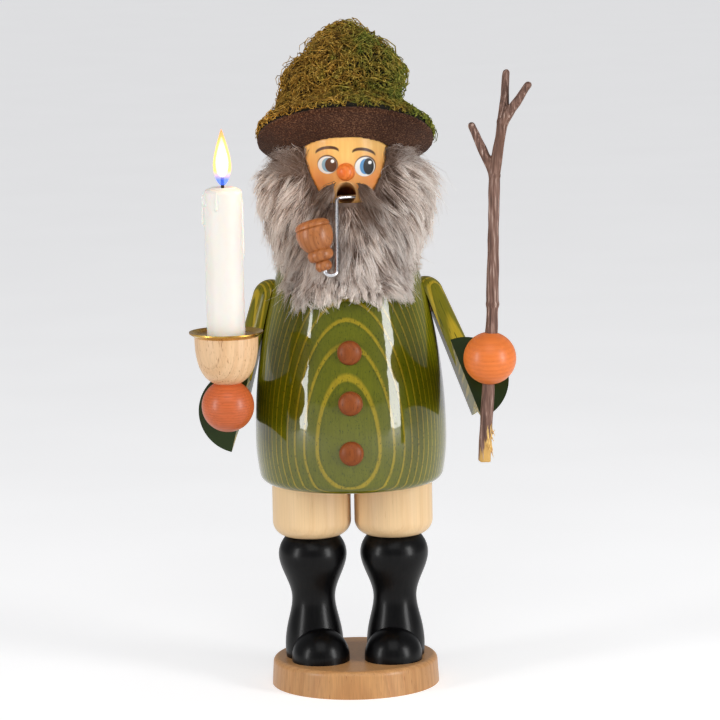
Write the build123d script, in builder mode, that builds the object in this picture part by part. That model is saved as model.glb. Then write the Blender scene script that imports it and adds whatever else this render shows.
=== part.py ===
from build123d import *
from math import cos, radians, sin, sqrt, tan
import os

# Incense smoker, a forest gnome of turned wood on a round base.
# The upper half lifts off the legs so that a cone can be lit on the tray. The smoke rises
# through the hollow body and the neck and leaves by the mouth.
# Millimetres. The origin is the centre of the base's underside, Z is up and the front is -Y.
# Left and right are as seen from the front.

# Fits
glue_gap = 0.05
lift_gap = 0.3
soft_gap = 0.3
swing_gap = 0.05
hole_relief = 0.5

# Base
base_diameter = 77.0
base_top_diameter = 75.5
base_thickness = 12.5
base_edge_round = 2.5

# Boots, toe caps and trousers
leg_spacing = 37.5
boot_height = 56.6
boot_sole_diameter = 26.0
boot_ankle_diameter = 24.0
boot_ankle_height = 16.0
boot_waist_diameter = 20.0
boot_waist_height = 29.0
boot_cuff_diameter = 31.2
boot_cuff_height = 47.0
boot_top_diameter = 24.0
toe_diameter = 26.5
toe_reach = 11.0
toe_rise = 1.8
left_toe_in = 2.9
right_toe_in = 1.3
toe_back_gap = 5.0
trouser_diameter = 36.0
trouser_height = 25.5
trouser_edge_round = 7.0
leg_dowel_diameter = 8.0
leg_dowel_grip = 8.0

# Hip plug with its incense tray
plug_diameter = 61.4
plug_height = 12.0
plug_chamfer = 1.5
air_hole_diameter = 8.0
air_hole_reach = 23.0
tray_diameter = 30.0
tray_depth = 3.5
tray_metal = 0.6
tray_flare = 2.0
nail_diameter = 1.6
nail_head_diameter = 4.0
nail_head_height = 1.0
nail_length = 9.0

# Body
body_height = 111.5
belly_radius = 43.7
belly_height = 21.0
hem_arc = 90.0
flank_arc = 260.0
rim_round = 5.0
shoulder_round = 20.0
chamber_height = 92.0
chamber_straight = 34.0
smoke_bore_diameter = 12.0

# Buttons
button_diameter = 11.0
button_dome = 3.6
button_edge = 0.6
button_spot_depth = 0.5
button_peg_diameter = 5.0
button_peg_length = 6.0
lowest_button_height = 19.3
button_spacing = 22.5

# Arms, halved turnings with a mitred elbow, and the ball hands
shoulder_height = 84.3
shoulder_radius = 8.5
elbow_radius = 10.5
cuff_radius = 19.0
cuff_flare = 0.5
upper_arm_length = 47.9
forearm_length = 38.0
arm_seat_depth = 0.6
left_splay = 13.8
left_toe_out = 4.0
left_swing = 0.5
left_hand_offset = 5.5
left_hand_lift = 3.0
right_splay = 19.5
right_toe_out = 6.0
right_swing = 17.9
right_hand_offset = 12.4
right_hand_lift = 3.5
hand_diameter = 23.4
wrist_flat_depth = 0.8
arm_dowel_diameter = 5.0
shoulder_dowel_drop = 6.0
shoulder_dowel_in_arm = 5.0
shoulder_dowel_in_body = 7.0
elbow_dowel_length = 12.0
wrist_dowel_in_hand = 6.0
wrist_dowel_in_cuff = 9.0

# Candle holder and candle
cup_height = 21.0
cup_top_diameter = 28.4
cup_foot_diameter = 11.5
cup_foot_rise = 0.45
cup_seat_flat = 1.5
cup_dowel_diameter = 4.0
cup_dowel_grip = 4.5
pan_diameter = 33.0
pan_rise = 1.6
pan_metal = 0.7
socket_depth = 9.0
socket_gap = 0.3
candle_diameter = 17.0
candle_length = 75.0
candle_top_round = 2.5
wick_diameter = 1.5
wick_length = 9.0
wick_in_wax = 4.0

# Twig in the right hand, given from the middle of that hand
twig_diameter = 5.6
twig_fork_diameter = 4.8
twig_tip_diameter = 3.2
twig_below_hand = 46.5
twig_straight_above = 24.0
twig_lean = 3.8
low_fork_out = 3.0
low_fork_up = 81.0
low_tip_out = -6.4
low_tip_up = 102.6
high_fork_out = 7.2
high_fork_up = 104.3
left_tip_out = 9.0
left_tip_up = 125.7
right_tip_out = 18.2
right_tip_up = 120.7
tip_depth = 4.0
twig_knot = 1.12

# Head
head_height = 60.0
head_radius = 21.0
head_widest_height = 43.0
jaw_radius = 17.5
jaw_height = 16.0
chin_rise = 2.0
neck_seat_radius = 12.5
neck_diameter = 20.0
neck_length = 11.0
mouth_height = 22.3
mouth_bore_diameter = 8.8
mouth_bore_slope = 20.0
nose_diameter = 8.4
nose_height = 31.9
nose_proud = 3.4
nose_peg_diameter = 3.6
nose_peg_length = 4.0

# Pipe
wire_diameter = 1.8
peg_turn = 24.0
peg_above_mouth = -1.9
peg_left = 4.3
peg_face_gap = 0.8
peg_grip = 5.0
wire_bend = 2.5
hook_bend = 2.2
hook_width = 4.6
hook_drop = 2.2
bowl_length = 23.5
bowl_radius = 7.4
bowl_bead_radius = 5.7
bowl_tip_radius = 3.7
bowl_crown_radius = 5.3
bead_neck_radius = 4.6
tip_neck_radius = 2.6
tip_length = 4.5
bead_length = 5.0
bowl_tip_below_mouth = 32.0
bowl_from_middle = 10.1
bowl_lean_left = 15.3
bowl_lean_back = 11.0
bowl_socket = 5.0
groove_place = 19.4
groove_width = 0.9
groove_depth = 0.5
pipe_rest_gap = 0.6

# Fur
brim_fur_half_width = 32.0
cheek_fur_half_width = 39.0
jaw_fur_half_width = 36.0
neck_fur_half_width = 31.5
chest_fur_half_width = 25.5
tip_fur_half_width = 15.0
fur_in_front = 3.0
fur_behind = 8.0
jaw_fur_height = 7.7
neck_fur_drop = 3.0
nape_fur_drop = 11.0
chest_fur_drop = 19.0
beard_thickness = 8.0
beard_drop = 29.0
face_half_width = 16.5
chin_half_width = 6.5
face_flare = 12.0
moustache_length = 12.0
moustache_radius = 2.7
moustache_end_radius = 0.6
moustache_from_middle = 4.6
moustache_proud = 0.6
moustache_slope = 48.0
moustache_turn = 15.0
fur_parting = 3.0

# Hat and moss
hat_tilt = 25.0
hat_seat_height = 37.2
hat_inner_radius = 22.3
felt_thickness = 2.5
brim_width = 19.0
brim_upturn = 21.0
crown_height = 42.0
crown_top_radius = 13.0
crown_round = 6.0
moss_on_brim = 2.5
moss_waist_radius = 30.0
moss_waist_height = 21.0
moss_shoulder_radius = 28.5
moss_shoulder_height = 40.0
moss_crest_radius = 17.0
moss_crest_height = 54.5
moss_height = 61.5

os.makedirs("parts", exist_ok=True)


def finish(part, name):
    """Name a finished piece and write it."""
    part.label = name
    export_step(part, f"parts/{name}.step")


def upright(x, y, z):
    """Sketch plane of a piece turned about the vertical through x, y, with z as its foot."""
    return Plane(origin=(x, y, z), x_dir=(1, 0, 0), z_dir=(0, -1, 0))


def vertical(x, y):
    """Vertical axis through x, y."""
    return Axis((x, y, 0), (0, 0, 1))


def dome(foot, radius, rise):
    """Quarter oval from the rim of a dome at height foot up to its crest on the axis."""
    corner = sqrt(0.5)
    Spline(
        (radius, foot),
        (radius * corner, foot + rise * corner),
        (0, foot + rise),
        tangents=[(0, rise), (-radius, 0)],
    )


# Round base of natural beech, a little narrower at the top
base_radius = base_diameter / 2
base_top_radius = base_top_diameter / 2
leg_dowel_radius = leg_dowel_diameter / 2
leg_places = [(-leg_spacing / 2, 0), (leg_spacing / 2, 0)]

with BuildPart() as base_plate:
    with BuildSketch(upright(0, 0, 0)):
        with BuildLine():
            Polyline(
                (0, 0),
                (base_radius, 0),
                (base_top_radius, base_thickness),
                (0, base_thickness),
                close=True,
            )
        make_face()
    revolve(axis=Axis.Z)
    fillet(base_plate.edges().group_by(Axis.Z)[-1], base_edge_round)
    with BuildSketch(Plane.XY.offset(base_thickness)):
        with Locations(*leg_places):
            Circle(leg_dowel_radius + glue_gap)
    extrude(amount=-leg_dowel_grip - hole_relief, mode=Mode.SUBTRACT)
finish(base_plate.part, "base_plate")

# Boots, turned with a rounded cuff, a drawn-in waist and a straight foot
trouser_floor = base_thickness + boot_height


def boot_outline(grow):
    """Half outline of a boot, standing on its sole, made larger all round by grow."""
    Line((0, -grow), (boot_sole_diameter / 2 + grow, -grow))
    Spline(
        (boot_sole_diameter / 2 + grow, -grow),
        (boot_ankle_diameter / 2 + grow, boot_ankle_height),
        (boot_waist_diameter / 2 + grow, boot_waist_height),
        (boot_cuff_diameter / 2 + grow, boot_cuff_height),
        (boot_top_diameter / 2 + grow, boot_height + grow),
    )
    Line((boot_top_diameter / 2 + grow, boot_height + grow), (0, boot_height + grow))
    Line((0, boot_height + grow), (0, -grow))


for side, place in zip(("left", "right"), leg_places):
    with BuildPart() as boot:
        with BuildSketch(upright(*place, base_thickness)):
            with BuildLine():
                boot_outline(0)
            make_face()
        revolve(axis=vertical(*place))
        with BuildSketch(Plane.XY.offset(base_thickness)):
            with Locations(place):
                Circle(leg_dowel_radius + glue_gap)
        extrude(amount=boot_height, mode=Mode.SUBTRACT)
    finish(boot.part, f"boot_{side}")

# Toe caps, balls cut off a little below the middle and hollowed behind to lie against the boots
toe_radius = toe_diameter / 2
toe_middles = [left_toe_in - leg_spacing / 2, leg_spacing / 2 - right_toe_in]
for side, place, toe_middle in zip(("left", "right"), leg_places, toe_middles):
    with BuildPart() as toe_cap:
        with BuildSketch(upright(toe_middle, -toe_reach, base_thickness)):
            with BuildLine():
                Line((0, 0), (toe_radius, 0))
                Line((toe_radius, 0), (toe_radius, toe_rise))
                CenterArc((0, toe_rise), toe_radius, 0, 90)
                Line((0, toe_rise + toe_radius), (0, 0))
            make_face()
        revolve(axis=vertical(toe_middle, -toe_reach))
        with BuildSketch(upright(*place, base_thickness)):
            with BuildLine():
                boot_outline(glue_gap)
            make_face()
        revolve(axis=vertical(*place), mode=Mode.SUBTRACT)
        split(bisect_by=Plane.XZ.offset(toe_back_gap), keep=Keep.TOP)
    finish(toe_cap.part, f"toe_cap_{side}")

# Trouser legs of pale maple
body_floor = trouser_floor + trouser_height
for side, place in zip(("left", "right"), leg_places):
    with BuildPart() as trouser:
        with BuildSketch(Plane.XY.offset(trouser_floor)):
            with Locations(place):
                Circle(trouser_diameter / 2)
        extrude(amount=trouser_height)
        fillet(trouser.edges().group_by(Axis.Z)[0], trouser_edge_round)
        with BuildSketch(Plane.XY.offset(trouser_floor)):
            with Locations(place):
                Circle(leg_dowel_radius + glue_gap)
        extrude(amount=trouser_height, mode=Mode.SUBTRACT)
    finish(trouser.part, f"trouser_{side}")

# Hip plug glued on the trousers, over which the hollow body fits. Air enters behind the tray
plug_radius = plug_diameter / 2
tray_floor = body_floor + plug_height
nail_radius = nail_diameter / 2

with BuildPart() as hip_plug:
    with BuildSketch(Plane.XY.offset(body_floor)):
        Circle(plug_radius)
        with Locations((0, air_hole_reach)):
            Circle(air_hole_diameter / 2, mode=Mode.SUBTRACT)
    extrude(amount=plug_height)
    chamfer(hip_plug.edges().group_by(Axis.Z)[-1].sort_by(SortBy.LENGTH)[-1], plug_chamfer)
    with BuildSketch(Plane.XY.offset(body_floor)):
        with Locations(*leg_places):
            Circle(leg_dowel_radius + glue_gap)
    extrude(amount=leg_dowel_grip + hole_relief, mode=Mode.SUBTRACT)
    with BuildSketch(Plane.XY.offset(tray_floor)):
        Circle(nail_radius + glue_gap)
    extrude(amount=-nail_length - hole_relief, mode=Mode.SUBTRACT)
finish(hip_plug.part, "hip_plug")

# Two long dowels that tie base, boots, trousers and hip plug together
with BuildPart() as leg_dowels:
    with BuildSketch(Plane.XY.offset(base_thickness - leg_dowel_grip)):
        with Locations(*leg_places):
            Circle(leg_dowel_radius)
    extrude(amount=boot_height + trouser_height + 2 * leg_dowel_grip)
finish(leg_dowels.part, "leg_dowels")

# Pressed sheet tray for the cone, held by one round-headed nail
tray_radius = tray_diameter / 2
with BuildPart() as incense_tray:
    with BuildSketch(upright(0, 0, tray_floor)):
        with BuildLine():
            Polyline(
                (nail_radius + glue_gap, 0),
                (tray_radius - tray_flare, 0),
                (tray_radius, tray_depth),
                (tray_radius - tray_metal, tray_depth),
                (tray_radius - tray_flare - tray_metal, tray_metal),
                (nail_radius + glue_gap, tray_metal),
                close=True,
            )
        make_face()
    revolve(axis=Axis.Z)
finish(incense_tray.part, "incense_tray")

with BuildPart() as tray_nail:
    with BuildSketch(Plane.XY.offset(tray_floor + tray_metal)):
        Circle(nail_radius)
    extrude(amount=-nail_length)
    with BuildSketch(upright(0, 0, tray_floor + tray_metal)):
        with BuildLine():
            Line((0, 0), (nail_head_diameter / 2, 0))
            dome(0, nail_head_diameter / 2, nail_head_height)
            Line((0, nail_head_height), (0, 0))
        make_face()
    revolve(axis=Axis.Z)
finish(tray_nail.part, "tray_nail")

# The body's outline: a long flank arc above the belly and a shorter hem arc below it
neck_seat = body_floor + body_height


def flank_radius(height):
    """Outer radius of the body at a height above its rim."""
    arc = flank_arc if height > belly_height else hem_arc
    return belly_radius - arc + sqrt(arc**2 - (height - belly_height) ** 2)


def body_outline(grow):
    """Half outline of the body, standing on its rim, made larger all round by grow."""
    half_hem = belly_height / 2
    half_flank = (belly_height + body_height) / 2
    Line((0, -grow), (flank_radius(0) + grow, -grow))
    ThreePointArc(
        (flank_radius(0) + grow, -grow),
        (flank_radius(half_hem) + grow, half_hem),
        (belly_radius + grow, belly_height),
    )
    ThreePointArc(
        (belly_radius + grow, belly_height),
        (flank_radius(half_flank) + grow, half_flank),
        (flank_radius(body_height) + grow, body_height + grow),
    )
    Line((flank_radius(body_height) + grow, body_height + grow), (0, body_height + grow))
    Line((0, body_height + grow), (0, -grow))


def round_body(sketch, grow):
    """Round the rim and the shoulder of a body outline."""
    rim_corner = (flank_radius(0) + grow, -grow, 0)
    shoulder_corner = (flank_radius(body_height) + grow, body_height + grow, 0)
    fillet(sketch.vertices().sort_by_distance(rim_corner)[0], rim_round)
    fillet(sketch.vertices().sort_by_distance(shoulder_corner)[0], shoulder_round)


# Arms. Each is a turned sleeve sawn in half, laid with its flat side on the body and mitred at
# the elbow. A frame has its origin on the body, x forwards, y up the sleeve and z to the left
hand_radius = hand_diameter / 2
arm_dowel_radius = arm_dowel_diameter / 2


class Arm:
    """Planes and places of one arm, worked out from how it was glued on."""

    def __init__(self, side, splay, toe_out, swing, hand_offset, hand_lift):
        turn = side * toe_out
        seat = flank_radius(shoulder_height) - arm_seat_depth
        self.shoulder = Vector(side * seat, 0, body_floor + shoulder_height).rotate(Axis.Z, turn)
        level = Vector(0, -1, 0).rotate(Axis.Z, turn)
        rise = Vector(-side * sin(radians(splay)), 0, cos(radians(splay))).rotate(Axis.Z, turn)
        self.out = level.cross(rise) * -side
        self.forward = level * cos(radians(swing)) + rise * sin(radians(swing))
        self.down = level * sin(radians(swing)) - rise * cos(radians(swing))
        self.flat = Plane(self.shoulder, x_dir=self.forward, z_dir=self.out)
        self.elbow = self.shoulder + self.down * upper_arm_length
        self.cuff = self.elbow + self.forward * forearm_length
        self.mitre = Plane(self.elbow, x_dir=self.out, z_dir=self.down + self.forward)
        wrist = self.cuff + self.out * hand_offset - self.down * hand_lift
        self.wrist = Plane(wrist, x_dir=self.out, z_dir=self.forward)
        self.hand = wrist + self.forward * (hand_radius - wrist_flat_depth)
        peg = self.shoulder + self.down * shoulder_dowel_drop
        self.peg = Plane(peg, x_dir=self.down, z_dir=self.out)
        knuckle = self.elbow + self.out * (elbow_radius / 2)
        self.knuckle = Plane(knuckle, x_dir=self.out, z_dir=self.down + self.forward)


left_arm = Arm(-1, left_splay, left_toe_out, left_swing, left_hand_offset, left_hand_lift)
right_arm = Arm(1, right_splay, right_toe_out, right_swing, right_hand_offset, right_hand_lift)
arms = {"left": left_arm, "right": right_arm}

upper_arms = {}
for side, arm in arms.items():
    with BuildPart() as upper_arm:
        with BuildSketch(Plane(arm.shoulder, x_dir=arm.down, z_dir=arm.out)):
            with BuildLine():
                CenterArc((0, 0), shoulder_radius, 90, 90)
                Polyline(
                    (0, shoulder_radius),
                    (upper_arm_length - elbow_radius, elbow_radius),
                    (upper_arm_length + elbow_radius, elbow_radius),
                    (upper_arm_length + elbow_radius, 0),
                    (-shoulder_radius, 0),
                )
            make_face()
        revolve(axis=Axis(arm.shoulder, arm.down))
        split(bisect_by=arm.flat, keep=Keep.TOP)
        split(bisect_by=arm.mitre, keep=Keep.BOTTOM)
        with BuildSketch(arm.peg):
            Circle(arm_dowel_radius + glue_gap)
        extrude(amount=shoulder_dowel_in_arm + hole_relief, mode=Mode.SUBTRACT)
        with BuildSketch(arm.knuckle):
            Circle(arm_dowel_radius + glue_gap)
        extrude(amount=-elbow_dowel_length / 2 - hole_relief, mode=Mode.SUBTRACT)
    finish(upper_arm.part, f"upper_arm_{side}")
    upper_arms[side] = upper_arm.part

for side, arm in arms.items():
    with BuildPart() as forearm:
        with BuildSketch(Plane(arm.elbow, x_dir=arm.forward, z_dir=arm.out)):
            with BuildLine():
                Line((-elbow_radius, 0), (-elbow_radius, elbow_radius))
                Line((-elbow_radius, elbow_radius), (elbow_radius, elbow_radius))
                Spline(
                    (elbow_radius, elbow_radius),
                    (forearm_length, cuff_radius),
                    tangents=[(1, 0), (1, cuff_flare)],
                )
                Line((forearm_length, cuff_radius), (forearm_length, 0))
                Line((forearm_length, 0), (-elbow_radius, 0))
            make_face()
        revolve(axis=Axis(arm.elbow, arm.forward))
        split(bisect_by=arm.flat, keep=Keep.TOP)
        split(bisect_by=arm.mitre, keep=Keep.TOP)
        with BuildSketch(arm.knuckle):
            Circle(arm_dowel_radius + glue_gap)
        extrude(amount=elbow_dowel_length / 2 + hole_relief, mode=Mode.SUBTRACT)
        with BuildSketch(arm.wrist):
            Circle(arm_dowel_radius + glue_gap)
        extrude(amount=-wrist_dowel_in_cuff - hole_relief, mode=Mode.SUBTRACT)
    finish(forearm.part, f"forearm_{side}")

with BuildPart() as shoulder_dowels:
    for arm in arms.values():
        with BuildSketch(arm.peg.offset(-shoulder_dowel_in_body)):
            Circle(arm_dowel_radius)
        extrude(amount=shoulder_dowel_in_body + shoulder_dowel_in_arm)
finish(shoulder_dowels.part, "shoulder_dowels")

with BuildPart() as elbow_dowels:
    for arm in arms.values():
        with BuildSketch(arm.knuckle.offset(-elbow_dowel_length / 2)):
            Circle(arm_dowel_radius)
        extrude(amount=elbow_dowel_length)
finish(elbow_dowels.part, "elbow_dowels")

with BuildPart() as wrist_dowels:
    for arm in arms.values():
        with BuildSketch(arm.wrist.offset(-wrist_dowel_in_cuff)):
            Circle(arm_dowel_radius)
        extrude(amount=wrist_dowel_in_cuff + wrist_dowel_in_hand)
finish(wrist_dowels.part, "wrist_dowels")

# Hollow turned body, milled flat where the arms lie on it and spot-faced for the buttons
neck_radius = neck_diameter / 2
smoke_radius = smoke_bore_diameter / 2
body_bore_radius = plug_radius + lift_gap
button_heights = [lowest_button_height + step * button_spacing for step in range(3)]


def button_seat(height):
    """Plane of a button's back, facing forwards, at a height above the body's rim."""
    reach = flank_radius(height) - button_spot_depth
    return Plane((0, -reach, body_floor + height), x_dir=(1, 0, 0), z_dir=(0, -1, 0))


with BuildPart() as body:
    with BuildSketch(upright(0, 0, body_floor)) as outline:
        with BuildLine():
            body_outline(0)
        make_face()
        round_body(outline, 0)
    revolve(axis=Axis.Z)
    with BuildSketch(upright(0, 0, body_floor)):
        with BuildLine():
            Polyline(
                (0, 0),
                (body_bore_radius, 0),
                (body_bore_radius, chamber_straight),
                (smoke_radius, chamber_height),
                (smoke_radius, body_height - neck_length - hole_relief),
                (neck_radius + glue_gap, body_height - neck_length - hole_relief),
                (neck_radius + glue_gap, body_height),
                (0, body_height),
                close=True,
            )
        make_face()
    revolve(axis=Axis.Z, mode=Mode.SUBTRACT)
    for side, arm in arms.items():
        add(upper_arms[side], mode=Mode.SUBTRACT)
        with BuildSketch(arm.peg.offset(shoulder_dowel_in_arm)):
            Circle(arm_dowel_radius + glue_gap)
        peg_hole = shoulder_dowel_in_arm + shoulder_dowel_in_body + hole_relief
        extrude(amount=-peg_hole, mode=Mode.SUBTRACT)
    for height in button_heights:
        with BuildSketch(button_seat(height)):
            Circle(button_diameter / 2 + glue_gap)
        extrude(amount=2 * button_spot_depth + button_edge, mode=Mode.SUBTRACT)
        with BuildSketch(button_seat(height)):
            Circle(button_peg_diameter / 2 + glue_gap)
        extrude(amount=-button_peg_length - hole_relief, mode=Mode.SUBTRACT)
finish(body.part, "body")

# Three domed buttons on pegs
for name, height in zip(("lowest", "middle", "top"), button_heights):
    seat = button_seat(height)
    with BuildPart() as button:
        with BuildSketch(Plane(seat.origin, x_dir=(1, 0, 0), z_dir=(0, 0, 1))):
            with BuildLine():
                Line((0, 0), (button_diameter / 2, 0))
                Line((button_diameter / 2, 0), (button_diameter / 2, -button_edge))
                dome(-button_edge, button_diameter / 2, -button_dome)
                Line((0, -button_edge - button_dome), (0, 0))
            make_face()
        revolve(axis=Axis(seat.origin, seat.z_dir))
        with BuildSketch(seat):
            Circle(button_peg_diameter / 2)
        extrude(amount=-button_peg_length)
    finish(button.part, f"button_{name}")

# Ball hands, flattened at the wrist. The left one is also flat on top for the candle cup, and
# the right one is drilled through for the twig
cup_floor = left_arm.hand.Z + hand_radius - cup_seat_flat
twig_up = Vector(sin(radians(twig_lean)), 0, cos(radians(twig_lean)))
cup_dowel_radius = cup_dowel_diameter / 2
for side, arm in arms.items():
    with BuildPart() as hand:
        with Locations(arm.hand):
            Sphere(hand_radius)
        split(bisect_by=arm.wrist, keep=Keep.TOP)
        with BuildSketch(arm.wrist):
            Circle(arm_dowel_radius + glue_gap)
        extrude(amount=wrist_dowel_in_hand + hole_relief, mode=Mode.SUBTRACT)
        if side == "left":
            split(bisect_by=Plane.XY.offset(cup_floor), keep=Keep.BOTTOM)
            with BuildSketch(Plane.XY.offset(cup_floor)):
                with Locations((arm.hand.X, arm.hand.Y)):
                    Circle(cup_dowel_radius + glue_gap)
            extrude(amount=-cup_dowel_grip - hole_relief, mode=Mode.SUBTRACT)
        else:
            with BuildSketch(Plane(arm.hand, z_dir=twig_up)):
                Circle(twig_diameter / 2 + glue_gap)
            extrude(amount=hand_radius, both=True, mode=Mode.SUBTRACT)
    finish(hand.part, f"hand_{side}")

# Beech candle cup, bored for the brass socket
candle_x = left_arm.hand.X
candle_y = left_arm.hand.Y
cup_top = cup_floor + cup_height
candle_radius = candle_diameter / 2
socket_radius = candle_radius + socket_gap
socket_floor = cup_top - socket_depth
cup_top_radius = cup_top_diameter / 2
cup_foot_radius = cup_foot_diameter / 2

with BuildPart() as candle_cup:
    with BuildSketch(upright(candle_x, candle_y, cup_floor)):
        with BuildLine():
            Line((0, 0), (cup_foot_radius, 0))
            Spline(
                (cup_foot_radius, 0),
                (cup_top_radius, cup_height),
                tangents=[(1, cup_foot_rise), (0, 1)],
            )
            Line((cup_top_radius, cup_height), (0, cup_height))
            Line((0, cup_height), (0, 0))
        make_face()
    revolve(axis=vertical(candle_x, candle_y))
    with BuildSketch(Plane.XY.offset(cup_top)):
        with Locations((candle_x, candle_y)):
            Circle(socket_radius + pan_metal + glue_gap)
    extrude(amount=-socket_depth - pan_metal, mode=Mode.SUBTRACT)
    with BuildSketch(Plane.XY.offset(cup_floor)):
        with Locations((candle_x, candle_y)):
            Circle(cup_dowel_radius + glue_gap)
    extrude(amount=cup_dowel_grip + hole_relief, mode=Mode.SUBTRACT)
finish(candle_cup.part, "candle_cup")

with BuildPart() as cup_dowel:
    with BuildSketch(Plane.XY.offset(cup_floor - cup_dowel_grip)):
        with Locations((candle_x, candle_y)):
            Circle(cup_dowel_radius)
    extrude(amount=2 * cup_dowel_grip)
finish(cup_dowel.part, "cup_dowel")

# Spun brass drip pan with the candle socket drawn into it
pan_radius = pan_diameter / 2
with BuildPart() as drip_pan:
    with BuildSketch(upright(candle_x, candle_y, cup_top)):
        with BuildLine():
            Polyline(
                (0, -socket_depth - pan_metal),
                (socket_radius + pan_metal, -socket_depth - pan_metal),
                (socket_radius + pan_metal, 0),
                (cup_top_radius, 0),
                (pan_radius, pan_rise),
                (pan_radius, pan_rise + pan_metal),
                (cup_top_radius, pan_metal),
                (socket_radius, pan_metal),
                (socket_radius, -socket_depth),
                (0, -socket_depth),
                close=True,
            )
        make_face()
    revolve(axis=vertical(candle_x, candle_y))
finish(drip_pan.part, "drip_pan")

# Candle with its wick
candle_top = socket_floor + candle_length
with BuildPart() as candle:
    with BuildSketch(Plane.XY.offset(socket_floor)):
        with Locations((candle_x, candle_y)):
            Circle(candle_radius)
    extrude(amount=candle_length)
    fillet(candle.edges().group_by(Axis.Z)[-1], candle_top_round)
    with BuildSketch(Plane.XY.offset(candle_top)):
        with Locations((candle_x, candle_y)):
            Circle(wick_diameter / 2 + glue_gap)
    extrude(amount=-wick_in_wax, mode=Mode.SUBTRACT)
finish(candle.part, "candle")

with BuildPart() as wick:
    with BuildSketch(Plane.XY.offset(candle_top - wick_in_wax)):
        with Locations((candle_x, candle_y)):
            Circle(wick_diameter / 2)
    extrude(amount=wick_length)
finish(wick.part, "wick")

# Natural twig pushed through the right hand, forked twice
twig_radius = twig_diameter / 2
fork_radius = twig_fork_diameter / 2
tip_radius = twig_tip_diameter / 2


def from_hand(out, up, back):
    """Place given from the middle of the right hand."""
    return right_arm.hand + Vector(out, back, up)


def limb(start, end, start_radius, end_radius, knot):
    """Tapered run of the twig, with a round end or knot of its own swelling."""
    way = end - start
    with BuildSketch(Plane(start, z_dir=way)) as foot:
        Circle(start_radius)
    with BuildSketch(Plane(end, z_dir=way)) as head_end:
        Circle(end_radius)
    loft([foot.sketch, head_end.sketch])
    with Locations(end):
        Sphere(end_radius * knot)


twig_foot = right_arm.hand - twig_up * twig_below_hand
twig_bend = right_arm.hand + twig_up * twig_straight_above
low_fork = from_hand(low_fork_out, low_fork_up, 0)
high_fork = from_hand(high_fork_out, high_fork_up, 0)
with BuildPart() as twig:
    limb(twig_foot, twig_bend, twig_radius, twig_radius, twig_knot)
    limb(twig_bend, low_fork, twig_radius, fork_radius, twig_knot)
    limb(low_fork, from_hand(low_tip_out, low_tip_up, tip_depth), fork_radius, tip_radius, 1)
    limb(low_fork, high_fork, fork_radius, fork_radius, twig_knot)
    limb(high_fork, from_hand(left_tip_out, left_tip_up, tip_depth), fork_radius, tip_radius, 1)
    limb(high_fork, from_hand(right_tip_out, right_tip_up, -tip_depth), fork_radius, tip_radius, 1)
finish(twig.part, "twig")

# Head, an egg on a bored neck. The mouth is drilled slanting down to meet the smoke bore
mouth_slope = radians(mouth_bore_slope)
mouth_radius = mouth_bore_diameter / 2
wire_radius = wire_diameter / 2


def head_outline(grow):
    """Half outline of the head, standing on its neck seat, made larger all round by grow."""
    Line((0, -grow), (neck_seat_radius + grow, -grow))
    Spline(
        (neck_seat_radius + grow, -grow),
        (jaw_radius + grow, jaw_height),
        (head_radius + grow, head_widest_height),
        tangents=[(1, chin_rise), (0, 1)],
    )
    dome(head_widest_height, head_radius + grow, head_height - head_widest_height + grow)
    Line((0, head_height + grow), (0, -grow))


def face_radius(height):
    """Radius of the head between jaw and widest height, close to its outline."""
    share = (height - jaw_height) / (head_widest_height - jaw_height)
    return jaw_radius + (head_radius - jaw_radius) * share * (2 - share)


mouth_face = face_radius(mouth_height)
mouth = Vector(0, -mouth_face, neck_seat + mouth_height)
mouth_way = Vector(0, cos(mouth_slope), -sin(mouth_slope))
smoke_top = mouth.Z - mouth_face * tan(mouth_slope)
peg_way = Vector(cos(radians(peg_turn)), sin(radians(peg_turn)), 0)
peg_corner = mouth + Vector(-peg_left, -wire_radius - peg_face_gap, peg_above_mouth)
peg_cross = (peg_left + mouth_radius) / cos(radians(peg_turn))
peg_end = peg_corner + peg_way * (peg_cross + peg_grip)
nose_face = face_radius(nose_height)
nose_seat = Plane((0, -nose_face, neck_seat + nose_height), x_dir=(1, 0, 0), z_dir=(0, -1, 0))

with BuildPart() as head:
    with BuildSketch(upright(0, 0, neck_seat)):
        with BuildLine():
            head_outline(0)
        make_face()
    revolve(axis=Axis.Z)
    with BuildSketch(Plane.XY.offset(neck_seat - neck_length)):
        Circle(neck_radius)
    extrude(amount=neck_length)
    with BuildSketch(Plane.XY.offset(neck_seat - neck_length)):
        Circle(smoke_radius)
    extrude(amount=smoke_top - neck_seat + neck_length, mode=Mode.SUBTRACT)
    with BuildSketch(Plane(mouth, z_dir=mouth_way)):
        Circle(mouth_radius)
    extrude(amount=mouth_face / cos(mouth_slope), mode=Mode.SUBTRACT)
    with BuildSketch(Plane(mouth, z_dir=mouth_way)):
        Circle(mouth_radius)
    extrude(amount=-mouth_radius, mode=Mode.SUBTRACT)
    with BuildSketch(Plane(peg_corner, z_dir=peg_way)):
        Circle(wire_radius + swing_gap)
    extrude(amount=peg_cross + peg_grip + hole_relief, mode=Mode.SUBTRACT)
    with BuildSketch(nose_seat):
        Circle(nose_peg_diameter / 2 + glue_gap)
    extrude(amount=-nose_peg_length - hole_relief, mode=Mode.SUBTRACT)
finish(head.part, "head")

# Half-ball nose on a peg, hollowed to the face
with BuildPart() as nose:
    with Locations(nose_seat.origin + Vector(0, nose_diameter / 2 - nose_proud, 0)):
        Sphere(nose_diameter / 2)
    with BuildSketch(upright(0, 0, neck_seat)):
        with BuildLine():
            head_outline(glue_gap)
        make_face()
    revolve(axis=Axis.Z, mode=Mode.SUBTRACT)
    with BuildSketch(nose_seat.offset(nose_proud / 2)):
        Circle(nose_peg_diameter / 2)
    extrude(amount=-nose_peg_length - nose_proud / 2)
finish(nose.part, "nose")

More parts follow.
